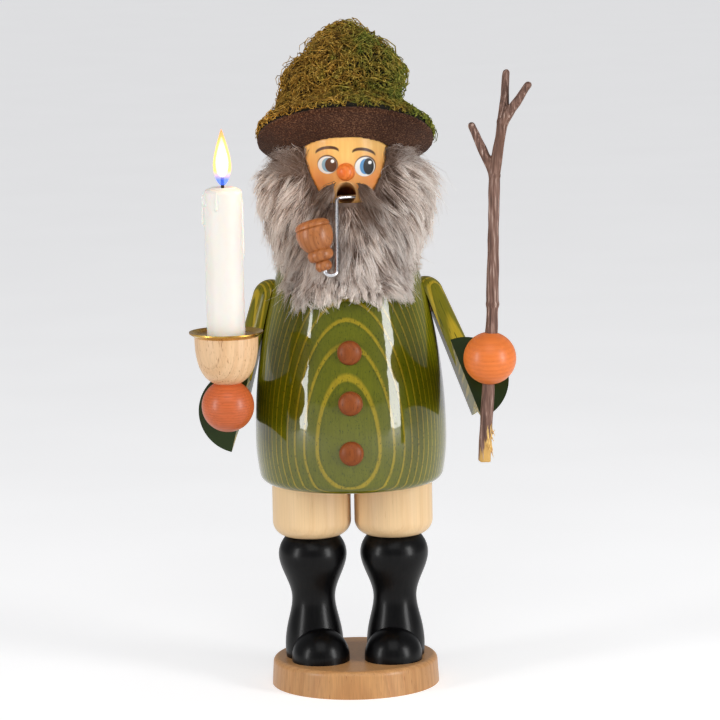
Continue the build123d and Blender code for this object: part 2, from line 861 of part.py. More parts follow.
# Pipe. A bent wire stem is hooked into a fine hole in the mouth's right wall, so that the pipe
# swings there, and it rests on the beard
tip_height = mouth_height - bowl_tip_below_mouth
chest_front = flank_radius(body_height + tip_height) + beard_thickness
bowl_tip = Vector(
    -bowl_from_middle,
    -chest_front - bowl_tip_radius - pipe_rest_gap,
    neck_seat + tip_height,
)
bowl_up = Vector(-tan(radians(bowl_lean_left)), tan(radians(bowl_lean_back)), 1).normalized()
hook_left = bowl_tip - bowl_up * hook_drop
hook_right = hook_left + Vector(hook_width, 0, 0)

with BuildPart() as pipe_stem:
    with BuildLine() as stem_path:
        FilletPolyline(
            peg_end,
            peg_corner,
            hook_right,
            hook_left,
            bowl_tip + bowl_up * bowl_socket,
            radius=[wire_bend, hook_bend, hook_bend],
        )
    with BuildSketch(Plane(peg_end, z_dir=-peg_way)):
        Circle(wire_radius)
    sweep(path=stem_path.wire())
finish(pipe_stem.part, "pipe_stem")

# Turned pipe bowl with two beads below it and a groove under its rounded top
bead_end = tip_length + bead_length
with BuildPart() as pipe_bowl:
    with BuildSketch(Plane(bowl_tip, x_dir=bowl_up, z_dir=(0, -1, 0))):
        with BuildLine():
            Line((0, 0), (0, tip_neck_radius))
            ThreePointArc(
                (0, tip_neck_radius),
                (tip_length / 2, bowl_tip_radius),
                (tip_length, tip_neck_radius),
            )
            ThreePointArc(
                (tip_length, tip_neck_radius),
                (tip_length + bead_length / 2, bowl_bead_radius),
                (bead_end, bead_neck_radius),
            )
            ThreePointArc(
                (bead_end, bead_neck_radius),
                ((bead_end + groove_place) / 2, bowl_radius),
                (groove_place, bowl_radius - groove_depth / 2),
            )
            Polyline(
                (groove_place, bowl_radius - groove_depth / 2),
                (groove_place + groove_width / 2, bowl_radius - groove_depth - groove_width / 2),
                (groove_place + groove_width, bowl_radius - groove_depth),
            )
            Spline(
                (groove_place + groove_width, bowl_radius - groove_depth),
                (bowl_length - groove_width, bowl_crown_radius),
                (bowl_length, 0),
                tangents=[(1, 0), (0, -1)],
            )
            Line((bowl_length, 0), (0, 0))
        make_face()
    revolve(axis=Axis(bowl_tip, bowl_up))
    with BuildSketch(Plane(bowl_tip, z_dir=bowl_up)):
        Circle(wire_radius + glue_gap)
    extrude(amount=bowl_socket + hole_relief, mode=Mode.SUBTRACT)
finish(pipe_bowl.part, "pipe_bowl")

# Hat. Its frame leans back with the felt, which sits on the head like a lid
hat_seat = Vector(0, 0, neck_seat + hat_seat_height)
hat_lean = radians(hat_tilt)
hat_up = Vector(0, sin(hat_lean), cos(hat_lean))
hat_plane = Plane(hat_seat, x_dir=(1, 0, 0), z_dir=hat_up.cross(Vector(1, 0, 0)) * -1)
hat_axis = Axis(hat_seat, hat_up)
brim_slope = radians(brim_upturn)
brim_out = brim_width * cos(brim_slope)
brim_rise = brim_width * sin(brim_slope)
brim_radius = hat_inner_radius + brim_out
felt_rise = felt_thickness / cos(brim_slope)
crown_foot_radius = hat_inner_radius + felt_thickness


def felt_top():
    """Upper side of the felt, from the brim's edge in to the top of the crown."""
    foot_rise = felt_rise + (crown_foot_radius - hat_inner_radius) * tan(brim_slope)
    return [
        (brim_radius, brim_rise + felt_rise),
        (crown_foot_radius, foot_rise),
        (crown_top_radius + felt_thickness, crown_height),
        (0, crown_height),
    ]


with BuildPart() as hat_felt:
    with BuildSketch(hat_plane) as felt:
        with BuildLine():
            Polyline(
                (0, crown_height - felt_thickness),
                (crown_top_radius, crown_height - felt_thickness),
                (hat_inner_radius, 0),
                (brim_radius, brim_rise),
                *felt_top(),
                close=True,
            )
        make_face()
        crown_corner = (crown_top_radius + felt_thickness, crown_height, 0)
        fillet(felt.vertices().sort_by_distance(crown_corner)[0], crown_round)
    revolve(axis=hat_axis)
    with BuildSketch(upright(0, 0, neck_seat)):
        with BuildLine():
            head_outline(glue_gap)
        make_face()
    revolve(axis=Axis.Z, mode=Mode.SUBTRACT)
finish(hat_felt.part, "hat_felt")

# Moss glued over the crown and the top of the brim
with BuildPart() as hat_moss:
    with BuildSketch(hat_plane):
        with BuildLine():
            brim_moss = brim_rise + felt_rise + soft_gap
            Line((0, 0), (brim_radius, 0))
            Line((brim_radius, 0), (brim_radius, brim_moss + moss_on_brim))
            Spline(
                (brim_radius, brim_moss + moss_on_brim),
                (moss_waist_radius, moss_waist_height),
                (moss_shoulder_radius, moss_shoulder_height),
                (moss_crest_radius, moss_crest_height),
                (0, moss_height),
            )
            Line((0, moss_height), (0, 0))
        make_face()
    revolve(axis=hat_axis)
    with BuildSketch(hat_plane):
        with BuildLine():
            rim, foot, shoulder, top = felt_top()
            Polyline(
                (0, -crown_height),
                (2 * brim_radius, -crown_height),
                (2 * brim_radius, rim[1] + soft_gap + (2 * brim_radius - rim[0]) * tan(brim_slope)),
                (foot[0] + soft_gap, foot[1] + soft_gap),
                (shoulder[0] + soft_gap, shoulder[1] + soft_gap),
                (0, top[1] + soft_gap),
                close=True,
            )
        make_face()
    revolve(axis=hat_axis, mode=Mode.SUBTRACT)
finish(hat_moss.part, "hat_moss")

# Fur, one strip round the face with the long beard and one round the back of the head. Both
# leave the face free, lie on the body and stay behind the pipe
brim_fur = neck_seat + head_height + soft_gap
cheek_fur = neck_seat + mouth_height
beard_tip = neck_seat - beard_drop
head_back = head_radius + fur_behind


def behind_stem(height):
    """How far the beard may stand forwards behind the pipe's stem at a height."""
    share = (peg_corner.Z - height) / (peg_corner.Z - hook_right.Z)
    stem = peg_corner.Y + (hook_right.Y - peg_corner.Y) * share
    return -stem - wire_radius - pipe_rest_gap


def on_chest(height):
    """How far the beard stands forwards where it lies on the body."""
    return flank_radius(height - body_floor) + beard_thickness


def fur_slice(height, half_width, front, back):
    """Oval slice through the fur."""
    with BuildSketch(Plane.XY.offset(height)) as oval:
        with Locations((0, (back - front) / 2)):
            Ellipse(half_width, (front + back) / 2)
    return oval.sketch


def fur_slices():
    """Slices from under the brim down to the tip of the beard."""
    jaw = neck_seat + jaw_fur_height
    neck = neck_seat - neck_fur_drop
    nape = neck_seat - nape_fur_drop
    chest = neck_seat - chest_fur_drop
    nape_half_width = (neck_fur_half_width + chest_fur_half_width) / 2
    return [
        fur_slice(brim_fur, brim_fur_half_width, head_radius + fur_in_front, head_back),
        fur_slice(cheek_fur, cheek_fur_half_width, behind_stem(cheek_fur), head_back),
        fur_slice(jaw, jaw_fur_half_width, behind_stem(jaw), head_back),
        fur_slice(neck, neck_fur_half_width, behind_stem(neck), head_back),
        fur_slice(nape, nape_half_width, on_chest(nape), head_radius),
        fur_slice(chest, chest_fur_half_width, on_chest(chest), 0),
        fur_slice(beard_tip, tip_fur_half_width, on_chest(beard_tip), -head_radius),
    ]


def moustache_outline(side, grow):
    """Half outline of a tuft of fur beside the mouth, and the axis that it is spun about."""
    slope = radians(moustache_slope)
    turn = radians(moustache_turn)
    way = Vector(side * cos(slope) * cos(turn), cos(slope) * sin(turn), -sin(slope))
    under_nose = neck_seat + nose_height - nose_diameter / 2
    start = Vector(side * moustache_from_middle, -nose_face - moustache_proud, under_nose)
    with BuildSketch(Plane(start, x_dir=way, z_dir=way.cross(Vector(0, 0, 1)))) as outline:
        with BuildLine():
            Line((-grow, moustache_end_radius + grow), (-grow, 0))
            Line((-grow, 0), (moustache_length + grow, 0))
            Line((moustache_length + grow, 0), (moustache_length + grow, moustache_end_radius + grow))
            Spline(
                (moustache_length + grow, moustache_end_radius + grow),
                (moustache_length / 2, moustache_radius + grow),
                (-grow, moustache_end_radius + grow),
            )
        make_face()
    return outline.sketch, Axis(start, way)


def face_window(reach, wider):
    """Outline of the bare face, in front of the head's middle by reach."""
    chin = neck_seat + mouth_height - mouth_radius / cos(mouth_slope) - soft_gap
    eyes = neck_seat + nose_height + nose_diameter / 2
    top = neck_seat + head_height
    with BuildSketch(Plane.XZ.offset(reach)) as window:
        with BuildLine():
            Polyline(
                (-chin_half_width - wider, chin),
                (chin_half_width + wider, chin),
                (face_half_width + wider, eyes),
                (face_half_width + wider, top + hat_inner_radius),
                (-face_half_width - wider, top + hat_inner_radius),
                (-face_half_width - wider, eyes),
                close=True,
            )
        make_face()
    return window.sketch


# Room that the fur leaves for what it is glued to and lies beside
with BuildPart() as head_room:
    with BuildSketch(upright(0, 0, neck_seat)):
        with BuildLine():
            head_outline(soft_gap)
        make_face()
    revolve(axis=Axis.Z)

with BuildPart() as body_room:
    with BuildSketch(upright(0, 0, body_floor)) as outline:
        with BuildLine():
            body_outline(soft_gap)
        make_face()
        round_body(outline, soft_gap)
    revolve(axis=Axis.Z)

with BuildPart() as hat_room:
    with BuildSketch(hat_plane):
        with BuildLine():
            Polyline(
                (0, -soft_gap - hat_inner_radius * tan(brim_slope)),
                (2 * brim_radius, -soft_gap + (2 * brim_radius - hat_inner_radius) * tan(brim_slope)),
                (2 * brim_radius, 2 * brim_radius),
                (0, 2 * brim_radius),
                close=True,
            )
        make_face()
    revolve(axis=hat_axis)

with BuildPart() as face_room:
    face_depth = 2 * head_radius
    loft([face_window(0, 0), face_window(face_depth, face_depth * tan(radians(face_flare)))])

with BuildPart() as moustache_room:
    for sign in (-1, 1):
        outline, spindle = moustache_outline(sign, soft_gap)
        revolve(outline, axis=spindle)

for side, sign in (("left", -1), ("right", 1)):
    with BuildPart() as moustache:
        outline, spindle = moustache_outline(sign, 0)
        revolve(outline, axis=spindle)
        add(head_room.part, mode=Mode.SUBTRACT)
    finish(moustache.part, f"moustache_{side}")

for name, parting, kept in (
    ("fur_beard", fur_parting, Keep.TOP),
    ("fur_hair", fur_parting + soft_gap, Keep.BOTTOM),
):
    with BuildPart() as fur:
        loft(fur_slices())
        for room in (head_room, body_room, hat_room, face_room, moustache_room):
            add(room.part, mode=Mode.SUBTRACT)
        split(bisect_by=Plane.XZ.offset(-parting), keep=kept)
    finish(fur.part, name)
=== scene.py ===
import bmesh
import bpy
import random
from math import cos, exp, pi, radians, sin
from mathutils import Matrix, Vector, bvhtree, kdtree, noise


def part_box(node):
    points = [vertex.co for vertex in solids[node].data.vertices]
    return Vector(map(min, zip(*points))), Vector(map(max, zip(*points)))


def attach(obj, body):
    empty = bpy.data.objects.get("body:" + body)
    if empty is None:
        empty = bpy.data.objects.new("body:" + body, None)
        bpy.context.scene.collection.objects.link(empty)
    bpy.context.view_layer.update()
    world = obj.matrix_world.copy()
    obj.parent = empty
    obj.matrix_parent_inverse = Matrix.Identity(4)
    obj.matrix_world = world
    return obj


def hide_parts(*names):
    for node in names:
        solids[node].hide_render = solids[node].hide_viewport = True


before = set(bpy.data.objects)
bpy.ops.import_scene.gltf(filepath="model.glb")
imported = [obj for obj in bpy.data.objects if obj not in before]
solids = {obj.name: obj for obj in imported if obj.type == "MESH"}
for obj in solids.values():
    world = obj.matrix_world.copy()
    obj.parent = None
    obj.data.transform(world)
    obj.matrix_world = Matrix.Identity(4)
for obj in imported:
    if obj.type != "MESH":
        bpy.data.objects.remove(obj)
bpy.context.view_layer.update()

# Base plate. A round of natural beech, turned with its grain upright, so that the edge shows fine
# upright fibres and one pointed figure. It is sanded smooth and has clear satin lacquer.
mm = 0.001


def seen(red, green, blue):
    """A colour as the eye reads it, 0 to 255, in the shader's own scale."""
    return tuple((part / 255) ** 2.2 for part in (red, green, blue)) + (1,)


def node(tree, kind, wires, **settings):
    """One node of a finish, with its inputs wired or set."""
    made = tree.nodes.new("ShaderNode" + kind)
    for key, value in settings.items():
        setattr(made, key, value)
    for socket, value in wires.items():
        if isinstance(value, bpy.types.NodeSocket):
            tree.links.new(value, made.inputs[socket])
        else:
            made.inputs[socket].default_value = value
    return made


def calc(tree, operation, *values):
    """Result of one sum on numbers."""
    return node(tree, "Math", dict(enumerate(values)), operation=operation).outputs[0]


def vector(tree, operation, *values):
    """Result of one sum on places."""
    made = node(tree, "VectorMath", dict(enumerate(values)), operation=operation)
    return made.outputs["Value" if operation in ("LENGTH", "DOT_PRODUCT") else "Vector"]


def mottle(tree, place, stretch, scale, detail=2):
    """Cloudy pattern from 0 to 1, drawn out along the axes where stretch is small."""
    wires = {"Vector": vector(tree, "MULTIPLY", place, stretch), "Scale": scale, "Detail": detail}
    return node(tree, "TexNoise", wires).outputs["Fac"]


def between(tree, value, low, high, start=0.0, end=1.0):
    """Share of the way from low to high, held at both ends."""
    wires = {"Value": value, "From Min": low, "From Max": high, "To Min": start, "To Max": end}
    return node(tree, "MapRange", wires).outputs[0]


def mixed(tree, share, first, second):
    """Colour a share of the way from the first to the second."""
    wires = {0: share, 6: first, 7: second}
    return node(tree, "Mix", wires, data_type="RGBA").outputs[2]


def ramp(tree, value, stops):
    """Colour that runs through the stops."""
    made = node(tree, "ValToRGB", {"Fac": value})
    bar = made.color_ramp.elements
    bar[0].position, bar[0].color = stops[0]
    bar[1].position, bar[1].color = stops[-1]
    for position, colour in stops[1:-1]:
        bar.new(position).color = colour
    return made.outputs["Color"]


def new_finish(name, **sockets):
    """Finish with its shader's even values set, its node tree and the piece's own coordinates."""
    finish = bpy.data.materials.new(name)
    finish.use_nodes = True
    tree = finish.node_tree
    shader = tree.nodes["Principled BSDF"]
    for socket, value in sockets.items():
        shader.inputs[socket.replace("_", " ").title().replace("Ior", "IOR")].default_value = value
    place = tree.nodes.new("ShaderNodeTexCoord").outputs["Object"]
    return finish, tree, shader, place


def bumped(tree, shader, height, strength, depth):
    """Fine relief on a finish."""
    relief = node(tree, "Bump", {"Strength": strength, "Distance": depth, "Height": height})
    tree.links.new(relief.outputs["Normal"], shader.inputs["Normal"])


def scaled(tree, colour, amount):
    """Colour made darker or lighter by an amount."""
    made = node(tree, "VectorMath", {0: colour, "Scale": amount}, operation="SCALE")
    return made.outputs["Vector"]


def grained(
    name, early, late, fleck, pith, turn, ring, wander, flecked, gloss,
    line=0.5, dash=0.1, fine=900, streaks=0.1,
):
    """Lacquered wood with year rings round its pith, and fibres and flecks along it.

    Turn lays the log, ring is the width of a year, which is late wood from the share line on, and
    wander is how far the rings stray. Flecked is how many pores show, dash and fine how long and
    close they are, and streaks how strong the fibres. Gloss is the wood's roughness, the lacquer's
    weight and roughness, and the wood's own shine.
    """
    roughness, coat, coat_roughness, shine = gloss
    finish, tree, shader, place = new_finish(
        name, roughness=roughness, coat_weight=coat, coat_roughness=coat_roughness,
        specular_ior_level=shine,
    )
    wires = {"Vector": place, "Location": pith, "Rotation": turn}
    log = node(tree, "Mapping", wires, vector_type="TEXTURE").outputs[0]
    slow = vector(tree, "MULTIPLY", log, (1, 1, 0.25))
    drift = node(tree, "TexNoise", {"Vector": slow, "Scale": 30, "Detail": 2}).outputs["Color"]
    bent = vector(tree, "MULTIPLY_ADD", drift, (wander, wander, 0), log)
    reach = vector(tree, "LENGTH", vector(tree, "MULTIPLY", bent, (1, 1, 0)))
    year = calc(tree, "FRACT", calc(tree, "DIVIDE", reach, ring))
    late_from = 0.4 * line + 0.54
    stops = [(0, early), (line, early), (late_from, late), (0.95, late), (1, early)]
    tone = ramp(tree, year, stops)
    pores = mottle(tree, log, (1, 1, dash), fine)
    spring = between(tree, year, 0.14, 0.02, 0, 0.5)
    spring_pores = calc(tree, "MULTIPLY", spring, between(tree, pores, 0.3, 0.6))
    tone = mixed(tree, spring_pores, tone, fleck)
    tone = mixed(tree, between(tree, pores, 0.72 - flecked, 0.8 - flecked), tone, fleck)
    fibre = mottle(tree, log, (1, 1, 0.03), 1300)
    tone = scaled(tree, tone, between(tree, fibre, 0.3, 0.7, 1 - 1.2 * streaks, 1 + 0.8 * streaks))
    cloud = mottle(tree, log, (1, 1, 0.3), 45)
    tone = scaled(tree, tone, between(tree, cloud, 0.3, 0.7, 0.92, 1.06))
    tree.links.new(tone, shader.inputs["Base Color"])
    bumped(tree, shader, fibre, 0.1, 0.1 * mm)
    return finish


def dress(finish, *names):
    """Give pieces their finish."""
    for name in names:
        for place in solids[name].material_slots:
            place.material = finish


upright = (0, 0, 0)
satin = (0.42, 0.2, 0.25, 0.3)
base_pith = (3 * mm, 60.6 * mm, 0)
base_wood = grained(
    "beech_block", seen(194, 143, 92), seen(186, 134, 85), seen(156, 104, 63), base_pith,
    upright, 2.6 * mm, 0.8 * mm, 0.06, satin, line=0.6, fine=1500,
)
dress(base_wood, "base_plate")

# Boots and toe caps. Turned from close-grained wood, each boot with a round cuff, a narrow waist
# and a straight foot, and a cut ball glued in front as its toe. All have black satin lacquer.
boot_black, tree, shader, place = new_finish(
    "black_lacquer", roughness=0.36, coat_weight=0.12, coat_roughness=0.2, specular_ior_level=0.12
)
pores = mottle(tree, place, (1, 1, 0.06), 900)
tree.links.new(
    ramp(tree, pores, [(0.3, seen(6, 6, 7)), (0.75, seen(17, 16, 17))]), shader.inputs["Base Color"]
)
bumped(tree, shader, pores, 0.1, 0.1 * mm)
dress(boot_black, "boot_left", "boot_right", "toe_cap_left", "toe_cap_right")

# Trouser legs. Short cylinders of pale maple with a rounded lower edge, left in the colour of the
# wood under clear lacquer, with faint upright grain.
maple_pith = (30 * mm, 60 * mm, 0)
maple = grained(
    "maple", seen(234, 199, 152), seen(230, 193, 145), seen(220, 178, 128), maple_pith,
    upright, 4.5 * mm, 3 * mm, 0.0, satin, line=0.7, streaks=0.04,
)
dress(maple, "trouser_left", "trouser_right")

# Hip plug, tray and dowels. A beech disc on the legs carries a pressed tin tray with a nail, where
# the incense cone stands. The dowels that hold legs, arms and cup are raw beech.
dress(base_wood, "hip_plug")
unlacquered = (0.65, 0, 0.3, 0.3)
dowel_pith = (50 * mm, 50 * mm, 0)
raw_dowel = grained(
    "raw_dowel", seen(226, 190, 146), seen(210, 168, 122), seen(168, 118, 78), dowel_pith,
    upright, 2 * mm, 2 * mm, 0.08, unlacquered,
)
dress(raw_dowel, "leg_dowels", "shoulder_dowels", "elbow_dowels", "wrist_dowels", "cup_dowel")
tin, tree, shader, place = new_finish("tin_sheet", metallic=1.0)
scuff = mottle(tree, place, (1, 1, 1), 260, 5)
tree.links.new(
    ramp(tree, scuff, [(0.3, seen(150, 148, 144)), (0.7, seen(200, 199, 196))]),
    shader.inputs["Base Color"],
)
tree.links.new(between(tree, scuff, 0.3, 0.7, 0.25, 0.5), shader.inputs["Roughness"])
dress(tin, "incense_tray", "tray_nail")

# Body. A hollow bell turned with the grain upright from a block whose pith lay behind it, so the
# year rings show as nested ovals round the belly. Green stain leaves the late wood yellowish, and
# many coats of gloss lacquer make it shine like glass.
stain_green = seen(95, 98, 14)
stain_yellow = seen(151, 132, 28)
stain_pore = seen(64, 70, 12)
body_pith = (4 * mm, 200.4 * mm, 0)
glass_lacquer = (0.34, 1.0, 0.05, 0.05)
body_stain = grained(
    "green_stain", stain_green, stain_yellow, stain_pore, body_pith, upright,
    2.2 * mm, 0.8 * mm, 0.12, glass_lacquer, line=0.74, dash=0.4, fine=2000,
)
dress(body_stain, "body")

# Buttons. Three domes turned from close-grained wood, each with a peg, stained red-brown and glued
# into spot faces down the front of the body.
button_pith = (30 * mm, 20 * mm, 0)
button_lacquer = (0.5, 0.1, 0.3, 0.2)
button_stain = grained(
    "button_stain", seen(138, 73, 34), seen(130, 67, 30), seen(100, 49, 22), button_pith,
    upright, 1.8 * mm, 1.5 * mm, 0.1, button_lacquer, dash=0.2, fine=2000,
)
dress(button_stain, "button_lowest", "button_middle", "button_top")

# Arms. Sleeves turned in one length, sawn in half along it and mitred at the elbow, so the grain
# runs down the upper arm and out along the forearm. They have the body's stain, a little yellower,
# which soaks deep into the end grain of the cuffs and leaves them dark.
sleeve_green = seen(112, 106, 20)
sleeve_yellow = seen(172, 147, 38)
cuff_green = seen(40, 52, 24)
sleeve_lacquer = (0.45, 0.22, 0.14, 0.1)
upper_pith = (12 * mm, 30 * mm, 180 * mm)
fore_pith = (12 * mm, 0, 100 * mm)
for side, upper_turn, fore_turn, cuff_way in (
    ("left", (0, 13.8, 0), (90, 0, -4), (-0.068, -0.998, 0.008)),
    ("right", (-15.8, -21.2, 0), (73.2, 0, 0), (-0.003, -0.957, 0.29)),
):
    for part, turn, pith in (("upper_arm", upper_turn, upper_pith), ("forearm", fore_turn, fore_pith)):
        sleeve = grained(
            f"{part}_stain_{side}", sleeve_green, sleeve_yellow, stain_pore, pith,
            tuple(radians(angle) for angle in turn), 1.7 * mm, 1 * mm, 0.12, sleeve_lacquer,
            line=0.55, dash=0.05, fine=1400,
        )
        if part == "forearm":
            tree = sleeve.node_tree
            shader = tree.nodes["Principled BSDF"]
            corners = solids["forearm_" + side].data.vertices
            cuff_end = max(corner.co.dot(Vector(cuff_way)) for corner in corners)
            place = tree.nodes["Texture Coordinate"].outputs["Object"]
            reach = vector(tree, "DOT_PRODUCT", place, cuff_way)
            soaked = between(tree, reach, cuff_end - 0.4 * mm, cuff_end - 0.15 * mm)
            tone = shader.inputs["Base Color"].links[0].from_socket
            tree.links.new(mixed(tree, soaked, tone, cuff_green), shader.inputs["Base Color"])
        dress(sleeve, f"{part}_{side}")

# Hands. Turned balls, stained orange-red so that the level grain still shows faintly, one carrying
# the candle cup and the other drilled for the twig.
level = (0, radians(90), 0)
left_pith = (0, -45 * mm, -50 * mm)
left_stain = grained(
    "left_hand_stain", seen(204, 102, 56), seen(196, 95, 50), seen(177, 79, 41), left_pith,
    level, 1.2 * mm, 2.6 * mm, 0.08, satin, dash=0.05, fine=1500,
)
dress(left_stain, "hand_left")
right_pith = (0, -20 * mm, -40 * mm)
right_stain = grained(
    "right_hand_stain", seen(225, 120, 56), seen(220, 114, 52), seen(202, 98, 41), right_pith,
    level, 2.1 * mm, 2 * mm, 0.04, satin, dash=0.05, fine=1500, streaks=0.05,
)
dress(right_stain, "hand_right")

# Candle cup. Pale beech, turned like an egg cup with its grain upright, so its flecks are short
# upright dashes, and left unstained under thin lacquer.
cup_pith = (30 * mm, 80 * mm, 0)
cup_wood = grained(
    "cup_beech", seen(232, 192, 148), seen(226, 183, 138), seen(174, 122, 82), cup_pith,
    upright, 3.6 * mm, 3 * mm, 0.09, satin, dash=0.12, fine=1700, streaks=0.05,
)
dress(cup_wood, "candle_cup")

# Drip pan. Spun from thin brass, with the candle's socket drawn into it, polished and a little
# darkened by use.
brass, tree, shader, place = new_finish("spun_brass", metallic=1.0)
tarnish = mottle(tree, place, (1, 1, 1), 120, 4)
tree.links.new(
    ramp(tree, tarnish, [(0.35, seen(168, 126, 58)), (0.7, seen(222, 184, 98))]),
    shader.inputs["Base Color"],
)
tree.links.new(between(tree, tarnish, 0.3, 0.75, 0.34, 0.16), shader.inputs["Roughness"])
dress(brass, "drip_pan")

# Candle. Poured white wax, burning, with a molten pool round the charred cotton wick and runs of
# set wax on its side.
wax, tree, shader, place = new_finish(
    "white_wax", roughness=0.45, subsurface_weight=0.3, subsurface_scale=3 * mm
)
cloud = mottle(tree, place, (1, 1, 0.4), 60, 3)
tree.links.new(
    ramp(tree, cloud, [(0.3, seen(234, 228, 218)), (0.7, seen(241, 237, 230))]),
    shader.inputs["Base Color"],
)
bumped(tree, shader, mottle(tree, place, (1, 1, 0.3), 200), 0.12, 0.3 * mm)
dress(wax, "candle")
candle_low, candle_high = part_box("candle")
candle_x = (candle_low[0] + candle_high[0]) / 2
candle_y = (candle_low[1] + candle_high[1]) / 2
candle_top = candle_high[2]
candle_radius = (candle_high[0] - candle_low[0]) / 2


def new_piece(name, form, finish, body):
    """Object of a finished mesh, riding on its body."""
    mesh = bpy.data.meshes.new(name)
    form.to_mesh(mesh)
    form.free()
    mesh.polygons.foreach_set("use_smooth", [True] * len(mesh.polygons))
    mesh.materials.append(finish)
    piece = bpy.data.objects.new(name, mesh)
    bpy.context.collection.objects.link(piece)
    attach(piece, body)
    return piece


def spun(profile, centre, steps):
    """Closed form spun about the vertical through centre, from radius and height pairs."""
    form = bmesh.new()
    bearings = [2 * pi * step / steps for step in range(steps)]
    outward = [Vector((cos(bearing), sin(bearing), 0)) for bearing in bearings]
    rings = []
    for radius, height in profile:
        middle = Vector((*centre, height))
        if radius:
            rings.append([form.verts.new(middle + way * radius) for way in outward])
        else:
            rings.append([form.verts.new(middle)] * steps)
    for lower, upper in zip(rings, rings[1:]):
        for step in range(steps):
            corners = (lower[step - 1], lower[step], upper[step], upper[step - 1])
            form.faces.new(list(dict.fromkeys(corners)))
    return form


def strand_piece(name, strands, thickness, taper, finish, body, sides=0):
    """One piece of many strands, each a row of places from root to tip."""
    curve = bpy.data.curves.new(name, "CURVE")
    curve.dimensions = "3D"
    curve.bevel_depth = thickness
    curve.bevel_resolution = sides
    curve.use_fill_caps = sides > 0
    for strand in strands:
        last = len(strand) - 1
        spline = curve.splines.new("POLY")
        spline.points.add(last)
        spline.points.foreach_set("co", [part for spot in strand for part in (*spot, 1)])
        spline.points.foreach_set("radius", [taper(step / last) for step in range(len(strand))])
    curve.materials.append(finish)
    rope = bpy.data.objects.new(name, curve)
    bpy.context.collection.objects.link(rope)
    shaped = rope.evaluated_get(bpy.context.evaluated_depsgraph_get())
    mesh = bpy.data.meshes.new_from_object(shaped)
    bpy.data.objects.remove(rope)
    piece = bpy.data.objects.new(name, mesh)
    bpy.context.collection.objects.link(piece)
    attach(piece, body)
    return piece


pool_profile = [
    (0, candle_top - 1 * mm), (5.6 * mm, candle_top - 1 * mm), (6.2 * mm, candle_top + 0.1 * mm),
    (5.4 * mm, candle_top + 0.5 * mm), (3 * mm, candle_top + 0.2 * mm), (0, candle_top + 0.15 * mm),
]
pool = new_piece("wax_pool", spun(pool_profile, (candle_x, candle_y), 48), wax, "candle")
run_start = 0.6 * mm
run_sunk = 1.1 * mm
rim_melt = 2.2 * mm
run_steps = 11
drips = []
for bearing, drop, width in ((184, 16, 1.5), (200, 7, 1.0), (356, 31, 0.9), (250, 9, 0.9)):
    out = Vector((cos(radians(bearing)), sin(radians(bearing)), 0))
    run = []
    for step in range(run_steps + 1):
        share = step / run_steps
        over_rim = rim_melt * max(0, 1 - share * 5) ** 2
        stand_off = candle_radius - run_sunk + 0.85 * width * mm - over_rim
        on_axis = Vector((candle_x, candle_y, candle_top - run_start - drop * mm * share))
        run.append(on_axis + out * stand_off)
    drips.append(run)


def drip_taper(share):
    """A run of wax swells downwards and ends in a drop."""
    return 0.7 + 0.45 * share if share < 0.93 else 0.5


wax_runs = strand_piece("wax_runs", drips, 1.0 * mm, drip_taper, wax, "candle", sides=3)

char, tree, shader, place = new_finish("charred_wick", roughness=0.9)
cotton = mottle(tree, place, (1, 1, 0.5), 1500)
tree.links.new(
    ramp(tree, cotton, [(0.3, seen(16, 13, 12)), (0.7, seen(62, 50, 42))]), shader.inputs["Base Color"]
)
dress(char, "wick")

# Flame. A bright core stands in a clear orange mantle round the tip of the wick, blue at the foot,
# and throws a little warm light on what is near.
flame_foot = candle_top + 1.5 * mm
flame_height = 24.5 * mm
flame_heart = 12
tongue_profile = (
    (0, 0), (1.5, 0.5), (3.1, 3), (4.0, 7), (3.9, 10.5), (3.1, 14.5), (2.0, 18.5), (1.0, 21.8),
    (0.3, 23.8), (0, 24.5),
)
for name, width, strength, clear, foot_tone, middle_tone, tip_tone in (
    ("flame_core", 0.74, 2.4, 1.0, seen(90, 130, 245), seen(255, 244, 206), seen(255, 226, 140)),
    ("flame_mantle", 1.03, 1.0, 0.5, seen(60, 110, 240), seen(255, 190, 84), seen(255, 132, 30)),
):
    flame_glow, tree, shader, place = new_finish(
        name, roughness=1.0, emission_strength=strength, alpha=clear
    )
    height = node(tree, "SeparateXYZ", {0: place}).outputs[2]
    climbed = between(tree, height, flame_foot, flame_foot + flame_height)
    stops = [(0, foot_tone), (0.1, foot_tone), (0.26, middle_tone), (0.7, middle_tone), (1, tip_tone)]
    glow = ramp(tree, climbed, stops)
    tree.links.new(glow, shader.inputs["Base Color"])
    tree.links.new(glow, shader.inputs["Emission Color"])
    profile = [
        (radius * width * mm, flame_foot + (climb * width + flame_heart * (1 - width)) * mm)
        for radius, climb in tongue_profile
    ]
    tongue = spun(profile, (candle_x, candle_y), 32)
    flame = new_piece(name, tongue, flame_glow, "candle")
    round_flame = flame.modifiers.new("round", "SUBSURF")
    round_flame.levels = round_flame.render_levels = 1
candle_light = bpy.data.lights.new("candle_light", "POINT")
candle_light.energy = 0.013
candle_light.color = (1.0, 0.55, 0.2)
candle_light.shadow_soft_size = 6 * mm
candle_glow = bpy.data.objects.new("candle_light", candle_light)
candle_glow.location = (candle_x + 14 * mm, candle_y - 6 * mm, flame_foot + flame_heart * mm)
bpy.context.collection.objects.link(candle_glow)

# Twig. A natural forked twig pushed through the right hand, with thin red-grey bark, ridges and
# knots, its side shoots broken short and its lower end peeled to the yellow wood.


def settle(piece):
    """Make a piece's modifiers part of its mesh."""
    shaped = piece.evaluated_get(bpy.context.evaluated_depsgraph_get())
    mesh = bpy.data.meshes.new_from_object(shaped)
    piece.modifiers.clear()
    piece.data = mesh


